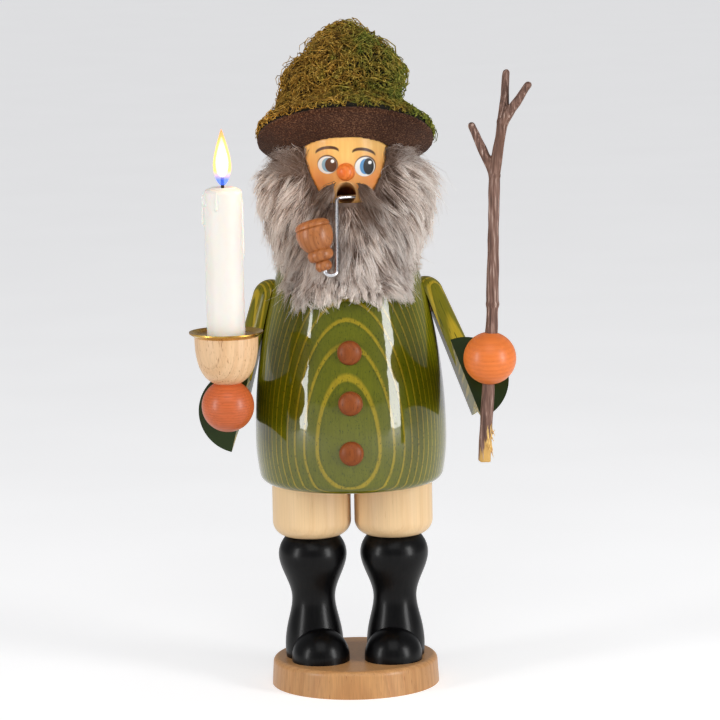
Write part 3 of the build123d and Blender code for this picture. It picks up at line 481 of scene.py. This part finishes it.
def even_copy(name, solid, voxel, rounds, finish):
    """Evenly meshed, softened copy of a solid that stands for it."""
    mesh = solids[solid].data.copy()
    form = bmesh.new()
    form.from_mesh(mesh)
    bmesh.ops.remove_doubles(form, verts=form.verts[:], dist=0.01 * mm)
    form.to_mesh(mesh)
    form.free()
    piece = bpy.data.objects.new(name, mesh)
    bpy.context.collection.objects.link(piece)
    grid = piece.modifiers.new("even", "REMESH")
    grid.mode = "VOXEL"
    grid.voxel_size = voxel
    grid.use_smooth_shade = True
    soft = piece.modifiers.new("soft", "SMOOTH")
    soft.iterations = rounds
    settle(piece)
    piece.data.materials.clear()
    piece.data.materials.append(finish)
    return piece


def pushed(piece, push):
    """Move each point of a piece along its normal by push, which is given its place and facing."""
    form = bmesh.new()
    form.from_mesh(piece.data)
    form.normal_update()
    moves = [(vert, vert.normal * push(vert.co, vert.normal)) for vert in form.verts]
    for vert, move in moves:
        vert.co += move
    form.to_mesh(piece.data)
    form.free()


twig_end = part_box("twig")[0][2]
bark, tree, shader, place = new_finish("bark", roughness=0.7)
streak = mottle(tree, place, (1, 1, 0.06), 1300, 3)
patch = mottle(tree, place, (1, 1, 0.3), 70, 3)
bark_tones = [
    (0.3, seen(66, 45, 37)), (0.46, seen(101, 72, 60)), (0.58, seen(126, 95, 82)),
    (0.7, seen(182, 156, 143)),
]
rind = ramp(tree, streak, bark_tones)
rind = mixed(tree, between(tree, patch, 0.52, 0.7, 0, 0.7), rind, seen(106, 71, 50))
foot_points = [
    point.co.x for point in solids["twig"].data.vertices if point.co.z < twig_end + 8 * mm
]
foot_middle = (min(foot_points) + max(foot_points)) / 2
parts = node(tree, "SeparateXYZ", {0: place}).outputs
aside = calc(tree, "SUBTRACT", parts[0], foot_middle)
torn_edge = calc(tree, "MULTIPLY_ADD", streak, 22 * mm, parts[2])
torn_edge = calc(tree, "MULTIPLY_ADD", aside, -1.7, torn_edge)
peeled = between(tree, torn_edge, twig_end + 19 * mm, twig_end + 17.5 * mm)
rind = mixed(tree, peeled, rind, seen(204, 160, 88))
tree.links.new(rind, shader.inputs["Base Color"])
bumped(tree, shader, streak, 0.6, 0.4 * mm)


def ridged(at, facing):
    """Long fine ridges of the bark over its low knots."""
    ridges = noise.noise(Vector((at.x * 420, at.y * 420, at.z * 60)))
    return 0.25 * mm * ridges + 0.35 * mm * noise.noise(at * 110)


twig = even_copy("twig_bark", "twig", 0.55 * mm, 2, bark)
pushed(twig, ridged)
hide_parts("twig")
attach(twig, "figure")
torn_wood, tree, shader, place = new_finish("torn_wood", roughness=0.75)
fibres = mottle(tree, place, (1, 1, 0.1), 1500)
tree.links.new(
    ramp(tree, fibres, [(0.3, seen(200, 146, 62)), (0.7, seen(246, 212, 138))]),
    shader.inputs["Base Color"],
)
splinter_count = 16
splinter_sunk = 0.4 * mm
dice = random.Random(20)
splinters = []
for _ in range(splinter_count):
    height = twig_end + dice.uniform(7, 16) * mm
    around = [point.co for point in twig.data.vertices if abs(point.co.z - height) < 1 * mm]
    middle = sum(around, Vector()) / len(around)
    bearing = radians(dice.uniform(-80, 40))
    out = Vector((cos(bearing), sin(bearing), 0))
    thick = max((spot - middle).dot(out) for spot in around)
    rise = Vector((0, 0, dice.choice((-1, -1, 1)) * dice.uniform(3, 6) * mm))
    root = middle + out * (thick - splinter_sunk)
    bend = dice.uniform(0.8, 2.2) * mm
    splinters.append(
        [root + rise * share + out * bend * share ** 1.5 for share in (0, 0.35, 0.7, 1)]
    )


def splinter_taper(share):
    """A splinter runs out to a point."""
    return 1 - 0.85 * share


torn = strand_piece(
    "twig_splinters", splinters, 0.45 * mm, splinter_taper, torn_wood, "figure", sides=1
)

# Head. An egg of turned wood, painted by hand under satin lacquer: skin, blushed cheeks, round eyes
# that look aside, and thin arched brows. The mouth is drilled, and the bare wood shows on its lip;
# deeper in, the mouth is darkened with painted shade.
face, tree, shader, place = new_finish(
    "painted_face", roughness=0.4, coat_weight=0.25, coat_roughness=0.2, specular_ior_level=0.2
)
face_front = -21 * mm
paint_deep = 14 * mm


def painted(tree, place, middle_x, middle_z, half_x, half_z, soft=0.06, lean=0.0):
    """Where an oval lies on the front of a piece: 1 inside and 0 outside."""
    wires = {
        "Vector": place,
        "Location": (middle_x * mm, face_front, middle_z * mm),
        "Rotation": (0, radians(lean), 0),
        "Scale": (half_x * mm, paint_deep, half_z * mm),
    }
    oval = node(tree, "Mapping", wires, vector_type="TEXTURE").outputs[0]
    flat = vector(tree, "LENGTH", vector(tree, "MULTIPLY", oval, (1, 0, 1)))
    front = between(tree, vector(tree, "LENGTH", oval), 2.2, 2.0)
    return calc(tree, "MULTIPLY", between(tree, flat, 1 + soft, 1 - soft), front)


grain = mottle(tree, place, (1, 1, 0.06), 700)
look = ramp(tree, grain, [(0.3, seen(240, 182, 102)), (0.7, seen(248, 196, 117))])
for cheek_x in (-12.0, 12.0):
    blush = calc(tree, "MULTIPLY", painted(tree, place, cheek_x, 233.5, 9, 8, 0.9), 0.8)
    look = mixed(tree, blush, look, seen(232, 132, 64))
for eye_x, eye_z, half_x, half_z, iris_half, iris_tone, sight_half, sight_tone in (
    (-8.2, 241.2, 4.3, 3.95, (2.75, 3.2), seen(142, 176, 194), (2.75, 3.3), seen(94, 58, 34)),
    (8.6, 240.1, 4.5, 4.4, (2.5, 3.5), seen(88, 146, 196), (2.4, 3.8), seen(16, 12, 12)),
):
    lid = painted(tree, place, eye_x + 0.15, eye_z + 0.25, half_x + 0.3, half_z + 0.3, 0.05)
    look = mixed(tree, lid, look, seen(82, 52, 38))
    white = painted(tree, place, eye_x, eye_z - 0.1, half_x, half_z, 0.04)
    look = mixed(tree, white, look, seen(244, 240, 234))
    iris = calc(tree, "MULTIPLY", painted(tree, place, eye_x + 0.2, eye_z, *iris_half, 0.05), white)
    look = mixed(tree, iris, look, iris_tone)
    sight = calc(tree, "MULTIPLY", painted(tree, place, eye_x + 1.65, eye_z, *sight_half, 0.05), white)
    look = mixed(tree, sight, look, sight_tone)
    glint = painted(tree, place, eye_x + 2.3, eye_z + 1.7, 0.8, 0.8, 0.15)
    look = mixed(tree, glint, look, seen(255, 255, 255))
for brow_x, brow_z, lean in ((-8.2, 247.2, -8), (8.2, 246.1, 13)):
    arch = painted(tree, place, brow_x, brow_z, 5.3, 2.5, 0.06, lean)
    under = painted(tree, place, brow_x, brow_z - 1.4, 5.5, 2.5, 0.06, lean)
    brow = calc(tree, "MULTIPLY", arch, calc(tree, "SUBTRACT", 1, under))
    look = mixed(tree, brow, look, seen(82, 54, 38))
mouth_z = 228.4
lip = painted(tree, place, 0, mouth_z, 5.3, 5.3, 0.12)
look = mixed(tree, lip, look, seen(222, 172, 116))
# Deeper in the drilled mouth the colour darkens: painted shade.
depth = node(tree, "SeparateXYZ", {0: place}).outputs[1]
mouth_painted_shade = calc(tree, "MULTIPLY", lip, between(tree, depth, -16.8 * mm, -10.5 * mm))
look = mixed(tree, mouth_painted_shade, look, seen(124, 70, 40))
tree.links.new(look, shader.inputs["Base Color"])
bumped(tree, shader, grain, 0.08, 0.1 * mm)
dress(face, "head")

# Nose. Half a ball of turned wood, stained orange-red so that its grain still shows a little, and
# glued into the face by its peg.
nose_pith = (30 * mm, 40 * mm, 0)
nose_paint = grained(
    "nose_paint", seen(234, 126, 54), seen(224, 110, 44), seen(204, 90, 36), nose_pith,
    upright, 1.6 * mm, 1 * mm, 0.03, satin,
)
dress(nose_paint, "nose")

# Pipe. A stem of bent aluminium wire that hooks into the wall of the mouth, and a bowl turned from
# brown-stained wood with beads below it and a groove under its cap.
wire_metal, tree, shader, place = new_finish("drawn_wire", metallic=1.0)
drawn = mottle(tree, place, (1, 1, 0.1), 1600)
tree.links.new(
    ramp(tree, drawn, [(0.3, seen(200, 202, 206)), (0.7, seen(222, 223, 226))]),
    shader.inputs["Base Color"],
)
tree.links.new(between(tree, drawn, 0.3, 0.7, 0.26, 0.32), shader.inputs["Roughness"])
dress(wire_metal, "pipe_stem")
bowl_pith = (0, 30 * mm, 0)
bowl_lean = (radians(11), radians(-15), 0)
bowl_stain = grained(
    "bowl_stain", seen(170, 106, 60), seen(154, 92, 50), seen(116, 68, 38), bowl_pith,
    bowl_lean, 2.2 * mm, 1.6 * mm, 0.1, satin, line=0.6, fine=1600,
)
dress(bowl_stain, "pipe_bowl")

# Hat. Pressed brown wool felt with a turned-up brim, pushed back on the head. Lighter hairs in the
# wool make it speckled, and its cut edge is soft.
felt_brown, tree, shader, place = new_finish(
    "brown_felt", roughness=0.95, sheen_weight=0.05, specular_ior_level=0.15
)
wool = mottle(tree, place, (1, 1, 1), 1500, 4)
patch = mottle(tree, place, (1, 1, 1), 50, 2)
wool = calc(tree, "MULTIPLY_ADD", patch, 0.25, wool)
tree.links.new(
    ramp(tree, wool, [(0.42, seen(42, 25, 17)), (0.66, seen(69, 44, 31)), (0.84, seen(126, 90, 67))]),
    shader.inputs["Base Color"],
)
bumped(tree, shader, wool, 0.7, 0.5 * mm)


def felted(at, facing):
    """Soft waves and fine nap of the felt."""
    return 0.16 * mm * noise.noise(at * 160) + 0.06 * mm * noise.noise(at * 700)


felt = even_copy("felt_hat", "hat_felt", 0.8 * mm, 4, felt_brown)
pushed(felt, felted)
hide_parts("hat_felt")
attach(felt, "figure")

# Moss. Dried feather moss heaped over the crown and the top of the brim and glued down, a tangle of
# curling stems with dark hollows between them. Its own mix of ochre and green runs from ochre at the
# left to green at the right, with painted warm candle light on the left, and the hollows and the
# roots of the stems are painted shade.


def scatter(piece, count, dice, wanted):
    """Places spread evenly over a piece where wanted, each with the way the surface faces."""
    mesh = piece.data
    mesh.calc_loop_triangles()
    faces = [
        face for face in mesh.loop_triangles
        if wanted(mesh.polygons[face.polygon_index].center, face.normal)
    ]
    found = []
    for face in dice.choices(faces, [face.area for face in faces], k=count):
        first, second, third = (mesh.vertices[index] for index in face.vertices)
        one, two = sorted((dice.random(), dice.random()))
        shares = ((first, one), (second, two - one), (third, 1 - two))
        place = sum((corner.co * share for corner, share in shares), Vector())
        facing = sum((corner.normal * share for corner, share in shares), Vector()).normalized()
        found.append((place, facing))
    return found


def skin_of(piece):
    """Surface of a piece on which strands can be laid."""
    form = bmesh.new()
    form.from_mesh(piece.data)
    surface = bvhtree.BVHTree.FromBMesh(form)
    form.free()
    return surface


moss_green, tree, shader, place = new_finish("dried_moss", roughness=0.85, specular_ior_level=0.25)
blade = mottle(tree, place, (1, 1, 1), 700, 2)
patch = mottle(tree, place, (1, 1, 1), 34, 2)
clump = mottle(tree, place, (1, 1, 1), 230, 2)
across = node(tree, "SeparateXYZ", {0: place}).outputs[0]
# Ochre to the left and green to the right: partly the moss's own mix, partly painted warm candle light
# on the left.
green_and_unlit_side = calc(tree, "MULTIPLY_ADD", patch, 110 * mm, across)
green_and_unlit_side = calc(tree, "MULTIPLY_ADD", clump, 90 * mm, green_and_unlit_side)
ochre_tones = [(0.3, seen(104, 75, 22)), (0.5, seen(166, 124, 45)), (0.7, seen(222, 178, 90))]
green_tones = [(0.3, seen(66, 74, 24)), (0.5, seen(112, 120, 42)), (0.7, seen(172, 172, 80))]
ochre = ramp(tree, blade, ochre_tones)
green = ramp(tree, blade, green_tones)
tone = mixed(tree, between(tree, green_and_unlit_side, 84 * mm, 128 * mm), ochre, green)
along = node(tree, "SeparateXYZ", {0: place.node.outputs["UV"]}).outputs[0]
# Stems darken towards their roots: painted shade in the hollows of the heap.
tone = scaled(tree, tone, between(tree, along, 0.05, 0.72, 0.1, 1.05))
tree.links.new(tone, shader.inputs["Base Color"])
# The heap under the stems is near black: painted shade of the hollows between them.
hollow_shade_finish, tree, shader, place = new_finish("moss_hollow_shade", roughness=1.0)
hollow_mottle = mottle(tree, place, (1, 1, 1), 700, 4)
tree.links.new(
    ramp(tree, hollow_mottle, [(0.3, seen(10, 9, 4)), (0.7, seen(36, 31, 12))]), shader.inputs["Base Color"]
)
heap = even_copy("moss_heap", "hat_moss", 2.0 * mm, 4, hollow_shade_finish)
hat_up = Matrix.Rotation(radians(-25), 3, "X") @ Vector((0, 0, 1))
hat_seat = Vector((0, 0, 243.3 * mm))
crown_reach = 31 * mm
dent_x, dent_z, dent_wide, dent_deep = -25 * mm, 291 * mm, 9 * mm, 7 * mm
least_cover = 2 * mm
felt_skin = skin_of(felt)


def off_axis(at):
    """The way from the hat's axis to a place."""
    from_seat = at - hat_seat
    return from_seat - hat_up * from_seat.dot(hat_up)


def outer_moss(at, facing):
    """True on the side of the moss that shows, where no felt lies in front of it."""
    if facing.dot(hat_up) < 0.05 and facing.dot(off_axis(at).normalized()) < 0.3:
        return False
    return felt_skin.ray_cast(at - facing * 0.5 * mm, facing, 9 * mm)[0] is None


def heaped(at, facing):
    """Lumps of the moss and a dent at its upper left, never down to the felt, and flat on the brim."""
    if not outer_moss(at, facing):
        return 0
    if off_axis(at).length > crown_reach:
        return 0.3 * mm * noise.noise(at * 170)
    push = -3 * mm + 5.5 * mm * noise.noise(at * 62) + 2 * mm * noise.noise(at * 170)
    aside, above = (at.x - dent_x) / dent_wide, (at.z - dent_z) / dent_wide
    push -= dent_deep * exp(-aside ** 2 - above ** 2)
    cover = felt_skin.find_nearest(at)[3]
    return max(push, min(0, least_cover - cover))


pushed(heap, heaped)
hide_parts("hat_moss")
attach(heap, "figure")


def tufted_moss(at, facing):
    """True where the showing moss grows in tufts."""
    return outer_moss(at, facing) and noise.noise(at * 150) > -0.22


def sprays(at, facing):
    """True where single sprays of moss stand out."""
    return outer_moss(at, facing) and noise.noise(at * 70) > 0.12


def sprig(skin, root, length, lift, curl, dice):
    """One curling stem that comes out of the heap, lies over it and ends where the moss ends."""
    joints = 6
    at, facing = root
    way = Matrix.Rotation(dice.uniform(0, 2 * pi), 3, facing) @ facing.orthogonal().normalized()
    turn = dice.uniform(-curl, curl)
    stem = [at - facing * 1.2 * mm]
    for step in range(1, joints + 1):
        turn += dice.uniform(-0.5, 0.5)
        way = Matrix.Rotation(turn, 3, facing) @ way
        near, normal = skin.find_nearest(at + way * (length / joints))[:2]
        if not outer_moss(near, normal):
            break
        at, facing = near, normal
        way = (way - facing * way.dot(facing)).normalized()
        low = 0.5 if off_axis(at).length > crown_reach else 1
        stem.append(at + facing * (low * lift * sin(0.75 * pi * step / joints)))
    if len(stem) == 1:
        stem.append(at + facing * 0.3 * lift)
    return stem


def stem_taper(share):
    """A stem of moss thins out by half to its tip."""
    return 1 - 0.55 * share


heap_skin = skin_of(heap)
for number, (count, grows, thickness, shortest, longest, highest, curl) in enumerate((
    (3000, tufted_moss, 0.22, 5, 10, 3.4, 1.1),
    (2600, tufted_moss, 0.3, 6, 13, 4.4, 0.9),
    (1500, tufted_moss, 0.38, 5, 11, 3, 1.0),
    (500, sprays, 0.26, 7, 13, 7, 0.6),
    (150, outer_moss, 0.5, 16, 34, 5.4, 0.4),
)):
    dice = random.Random(40 + number)
    sprigs = []
    for root in scatter(heap, count, dice, grows):
        length = dice.uniform(shortest, longest) * mm
        lift = dice.uniform(0.3, highest) * mm
        sprigs.append(sprig(heap_skin, root, length, lift, curl, dice))
    name = f"moss_stems_{number}"
    piece = strand_piece(name, sprigs, thickness * mm, stem_taper, moss_green, "figure")

# Fur. A strip of long-haired fur glued round the face as beard and whiskers, another round the back
# of the head, and two tufts beside the mouth. White hair over a brown-grey undercoat. Under the brim,
# beside the mouth and behind the pipe the hair is painted brown, partly the undercoat showing there
# and partly painted shade.
brown_fur_and_shade = seen(122, 98, 83)


def fur_finish(name, root, middle, tip):
    """Fur whose hairs go from their root's colour to their tip's, with brown places that are partly the
    undercoat and partly painted shade.
    """
    finish, tree, shader, place = new_finish(
        name, roughness=0.6, sheen_weight=0.05, specular_ior_level=0.3
    )
    along = node(tree, "SeparateXYZ", {0: place.node.outputs["UV"]}).outputs[0]
    uneven = mottle(tree, place, (1, 1, 0.4), 160, 2)
    share = calc(tree, "ADD", along, between(tree, uneven, 0.3, 0.7, -0.25, 0.25))
    tone = ramp(tree, share, [(0, root), (0.22, root), (0.52, middle), (0.82, tip), (1, tip)])
    # Brown under the brim, beside the mouth and behind the pipe: partly the undercoat, partly painted
    # shade.
    for middle_x, middle_z, half_x, half_z, strength in (
        (-25, 241, 13, 6.5, 0.8),
        (-11, 221, 6, 9, 0.75),
        (10, 221, 6, 9, 0.75),
        (25, 244, 11, 4, 0.6),
        (-3, 206, 6, 12, 0.45),
    ):
        dark = painted(tree, place, middle_x, middle_z, half_x, half_z, 0.5)
        tone = mixed(tree, calc(tree, "MULTIPLY", dark, strength), tone, brown_fur_and_shade)
    tree.links.new(tone, shader.inputs["Base Color"])
    return finish


white_hair = fur_finish("white_hair", seen(134, 110, 96), seen(230, 212, 200), seen(255, 248, 241))
grey_hair = fur_finish("grey_hair", seen(106, 86, 74), seen(201, 182, 169), seen(249, 238, 229))
brown_hair = fur_finish("brown_hair", seen(82, 63, 52), seen(141, 115, 98), seen(211, 190, 175))
undercoat, tree, shader, place = new_finish("undercoat", roughness=0.95)
down = mottle(tree, place, (1, 1, 0.3), 300, 3)
tree.links.new(
    ramp(tree, down, [(0.3, seen(76, 60, 51)), (0.7, seen(126, 106, 94))]), shader.inputs["Base Color"]
)


def hair_taper(share):
    """A hair thins out to its tip."""
    return 1 - 0.9 * share


def gathered(strands, guides, pull):
    """Strands drawn together into locks towards their tips."""
    nearest = kdtree.KDTree(len(guides))
    for index, guide in enumerate(guides):
        nearest.insert(guide[0], index)
    nearest.balance()
    drawn = []
    for strand in strands:
        guide = guides[nearest.find(strand[0])[1]]
        aside = strand[0] - guide[0]
        last = len(strand) - 1
        drawn.append([
            spot.lerp(guide[step] + aside * 0.35, pull * (step / last) ** 1.3)
            for step, spot in enumerate(strand)
        ])
    return drawn


def combed(skin, root, flow, length, lift, sway, dice):
    """One hair from under the fur's skin, along its flow, to its tip."""
    joints = 4
    at, facing = root
    aside = dice.uniform(-sway, sway)
    bow = dice.uniform(-sway, sway)
    hair = [at - facing * 1.0 * mm]
    for step in range(1, joints + 1):
        share = step / joints
        way = flow(at)
        way = (way - facing * way.dot(facing)).normalized()
        at = at + way * (length / joints)
        near, normal = skin.find_nearest(at)[:2]
        if normal.z > -0.4:
            at, facing = near, normal
        across = facing.cross(way) * (aside * share + bow * sin(pi * share))
        hair.append(at + facing * (lift * share) + across)
    return hair


def outer_fur(at, facing):
    """True on the side of the fur that shows."""
    return facing.dot(Vector((at.x, at.y, 0)).normalized()) > 0.15 or facing.y < -0.25


def beard_flow(at):
    """The way the beard lies: away from the face's middle, and more and more down."""
    away = Vector((at.x, 0, at.z - 252 * mm)).normalized()
    fall = min(1, max(0, (252 * mm - at.z) / (32 * mm)))
    return away + Vector((0.12, 0, -0.9 * fall))


def hair_flow(at):
    """The way the hair at the back lies."""
    return Vector((at.x * 8, 0, -1))


def beard_hem(at):
    """Height of the lowest tips below a place, with a long lock at the left and one at the right."""
    x = at.x / mm
    left_lock = 12.6 * exp(-(((x + 19) / 9) ** 2))
    right_lock = 5.4 * exp(-(((x - 18.4) / 8) ** 2))
    return (181.8 - left_lock - right_lock + 1.2 * max(0, abs(x) - 24)) * mm


def hair_hem(at):
    """Height of the lowest tips at the back."""
    return 192 * mm


def thinned(at, facing):
    """The pad stands back under the hair outside, and lies close to the head inside."""
    if facing.dot(Vector((at.x, at.y, 0)).normalized()) > 0.35:
        return -1.6 * mm + 0.9 * mm * noise.noise(at * 90)
    return 0.7 * mm


lift_from = 191 * mm
high_cheek = 234 * mm
lock_count = 440
stray_hairs = 280
beard_coats = (
    (5400, white_hair, 0.15),
    (3200, white_hair, 0.2),
    (5200, grey_hair, 0.14),
    (3200, brown_hair, 0.14),
)
hair_coats = ((4400, white_hair, 0.16), (3000, grey_hair, 0.16))
for solid, flow, hem, seed, coats in (
    ("fur_beard", beard_flow, beard_hem, 70, beard_coats),
    ("fur_hair", hair_flow, hair_hem, 90, hair_coats),
):
    pad = even_copy(solid + "_pad", solid, 1.4 * mm, 3, undercoat)
    pushed(pad, thinned)
    for point in pad.data.vertices:
        if solid == "fur_beard" and point.co.z < lift_from:
            point.co.z = lift_from - 0.4 * (lift_from - point.co.z)
    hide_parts(solid)
    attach(pad, "figure")
    pad_skin = skin_of(pad)

    def hairs(count, lowest_lift, highest_lift, sway):
        """Hairs all over the fur, cut to its hem."""
        grown = []
        for root in scatter(pad, count, dice, outer_fur):
            room = (root[0].z - hem(root[0])) * dice.uniform(0.85, 1.1)
            length = min(dice.uniform(12, 23) * mm, max(3 * mm, room))
            lift = dice.uniform(lowest_lift, highest_lift) * mm
            if root[0].z > high_cheek:
                lift *= 1.8 if root[0].x > 0 else 1.0
            grown.append(combed(pad_skin, root, flow, length, lift, sway * mm, dice))
        return grown

    dice = random.Random(seed)
    guides = hairs(lock_count, 0.4, 6.4, 3)
    for number, (count, finish, thickness) in enumerate(coats):
        dice = random.Random(seed + 1 + number)
        coat = gathered(hairs(count, 0.4, 3.4, 1.6), guides, 0.8)
        coat += hairs(stray_hairs, 2.5, 7.5, 4)
        piece = strand_piece(f"{solid}_{number}", coat, thickness * mm, hair_taper, finish, "figure")


def brow_flow(at):
    """The way the hair beside the brows stands: outward, over the edge of the brim."""
    return Vector((1 if at.x > 0 else -1, 0, 0.3))


def beside_brows(at, facing):
    """True on the fur at both sides of the brows."""
    return outer_fur(at, facing) and at.z > high_cheek and at.y < 0


brow_pad = bpy.data.objects["fur_beard_pad"]
brow_skin = skin_of(brow_pad)
dice = random.Random(120)
for name, count, finish in (
    ("brow_tufts_white", 560, white_hair),
    ("brow_tufts_brown", 360, brown_hair),
):
    wisps = []
    for root in scatter(brow_pad, count, dice, beside_brows):
        length = dice.uniform(9, 19) * mm
        lift = dice.uniform(2, 9) * mm
        wisps.append(combed(brow_skin, root, brow_flow, length, lift, 3 * mm, dice))
    wisps = gathered(wisps, wisps[:40], 0.5)
    piece = strand_piece(name, wisps, 0.13 * mm, hair_taper, finish, "figure")

for side, sign in (("left", -1), ("right", 1)):
    solid = "moustache_" + side
    pad = even_copy(solid + "_pad", solid, 0.5 * mm, 2, undercoat)
    pushed(pad, lambda at, facing: -1.0 * mm)
    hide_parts(solid)
    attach(pad, "figure")
    tuft_skin = skin_of(pad)
    dice = random.Random(100 + sign)

    def tuft_flow(at):
        """The way a moustache lies: out from the mouth and down."""
        return Vector((sign * 0.72, 0.1, -0.75))

    def tuft_hairs(count):
        """Hairs on the front of a moustache."""
        grown = []
        for root in scatter(pad, count, dice, lambda at, facing: facing.y < 0.3):
            length = dice.uniform(6, 15) * mm
            lift = dice.uniform(0.2, 2.4) * mm
            grown.append(combed(tuft_skin, root, tuft_flow, length, lift, 1.6 * mm, dice))
        return grown

    guides = tuft_hairs(50)
    for name, count, finish in (("_brown_hairs", 700, brown_hair), ("_grey_hairs", 420, grey_hair)):
        tuft = gathered(tuft_hairs(count), guides, 0.45)
        piece = strand_piece(solid + name, tuft, 0.12 * mm, hair_taper, finish, "figure")

# Studio. A pale floor, a tall soft strip light on each side, a broad soft light above the camera and
# an even pale surround.
floor_size = 9
floor_glow = 0.5
floor_form = bmesh.new()
bmesh.ops.create_grid(floor_form, x_segments=1, y_segments=1, size=floor_size)
floor_mesh = bpy.data.meshes.new("floor")
floor_form.to_mesh(floor_mesh)
floor_form.free()
floor = bpy.data.objects.new("floor", floor_mesh)
bpy.context.collection.objects.link(floor)
floor_paper, tree, shader, place = new_finish(
    "floor_paper", roughness=0.9, emission_color=seen(250, 250, 252)
)
paper = mottle(tree, place, (1, 1, 1), 8)
tree.links.new(
    ramp(tree, paper, [(0.3, seen(222, 221, 219)), (0.7, seen(227, 226, 224))]),
    shader.inputs["Base Color"],
)
rays = node(tree, "LightPath", {})
looked_at = calc(tree, "MAXIMUM", rays.outputs["Is Camera Ray"], rays.outputs["Is Glossy Ray"])
looked_at = calc(tree, "MAXIMUM", looked_at, rays.outputs["Is Transmission Ray"])
tree.links.new(calc(tree, "MULTIPLY", looked_at, floor_glow), shader.inputs["Emission Strength"])
floor_mesh.materials.append(floor_paper)


def soft_light(name, bearing, height, away, width, tall, watts):
    """Rectangle of light that faces the figure."""
    lamp = bpy.data.lights.new(name, "AREA")
    lamp.shape = "RECTANGLE"
    lamp.size = width
    lamp.size_y = tall
    lamp.energy = watts
    stand = bpy.data.objects.new(name, lamp)
    spot = Vector((away * sin(radians(bearing)), -away * cos(radians(bearing)), height))
    aim = Vector((0, 0, 160 * mm)) - spot
    stand.matrix_world = Matrix.Translation(spot) @ aim.to_track_quat("-Z", "Y").to_matrix().to_4x4()
    bpy.context.collection.objects.link(stand)


soft_light("strip_left", -58, 0.33, 1.1, 0.2, 0.65, 5.3)
soft_light("strip_right", 55, 0.33, 1.1, 0.28, 0.65, 8.0)
soft_light("overhead", 0, 1.5, 1.3, 1.2, 1.2, 7.6)
world = bpy.data.worlds.new("surround")
world.use_nodes = True
surround = world.node_tree.nodes["Background"]
surround.inputs["Color"].default_value = seen(236, 238, 242)
surround.inputs["Strength"].default_value = 0.38
bpy.context.scene.world = world
bpy.context.scene.view_settings.view_transform = "Standard"

camera = bpy.data.cameras.new("camera")
camera.lens = 184.7
camera.sensor_width = 36
viewer = bpy.data.objects.new("camera", camera)
eye = Vector((0.0, -1.67, 0.395))
aim = Vector((4.75 * mm, 0, 149.742 * mm)) - eye
roll = Matrix.Rotation(radians(-1.12), 4, "Z")
viewer.matrix_world = Matrix.Translation(eye) @ aim.to_track_quat("-Z", "Y").to_matrix().to_4x4() @ roll
bpy.context.collection.objects.link(viewer)
bpy.context.scene.camera = viewer
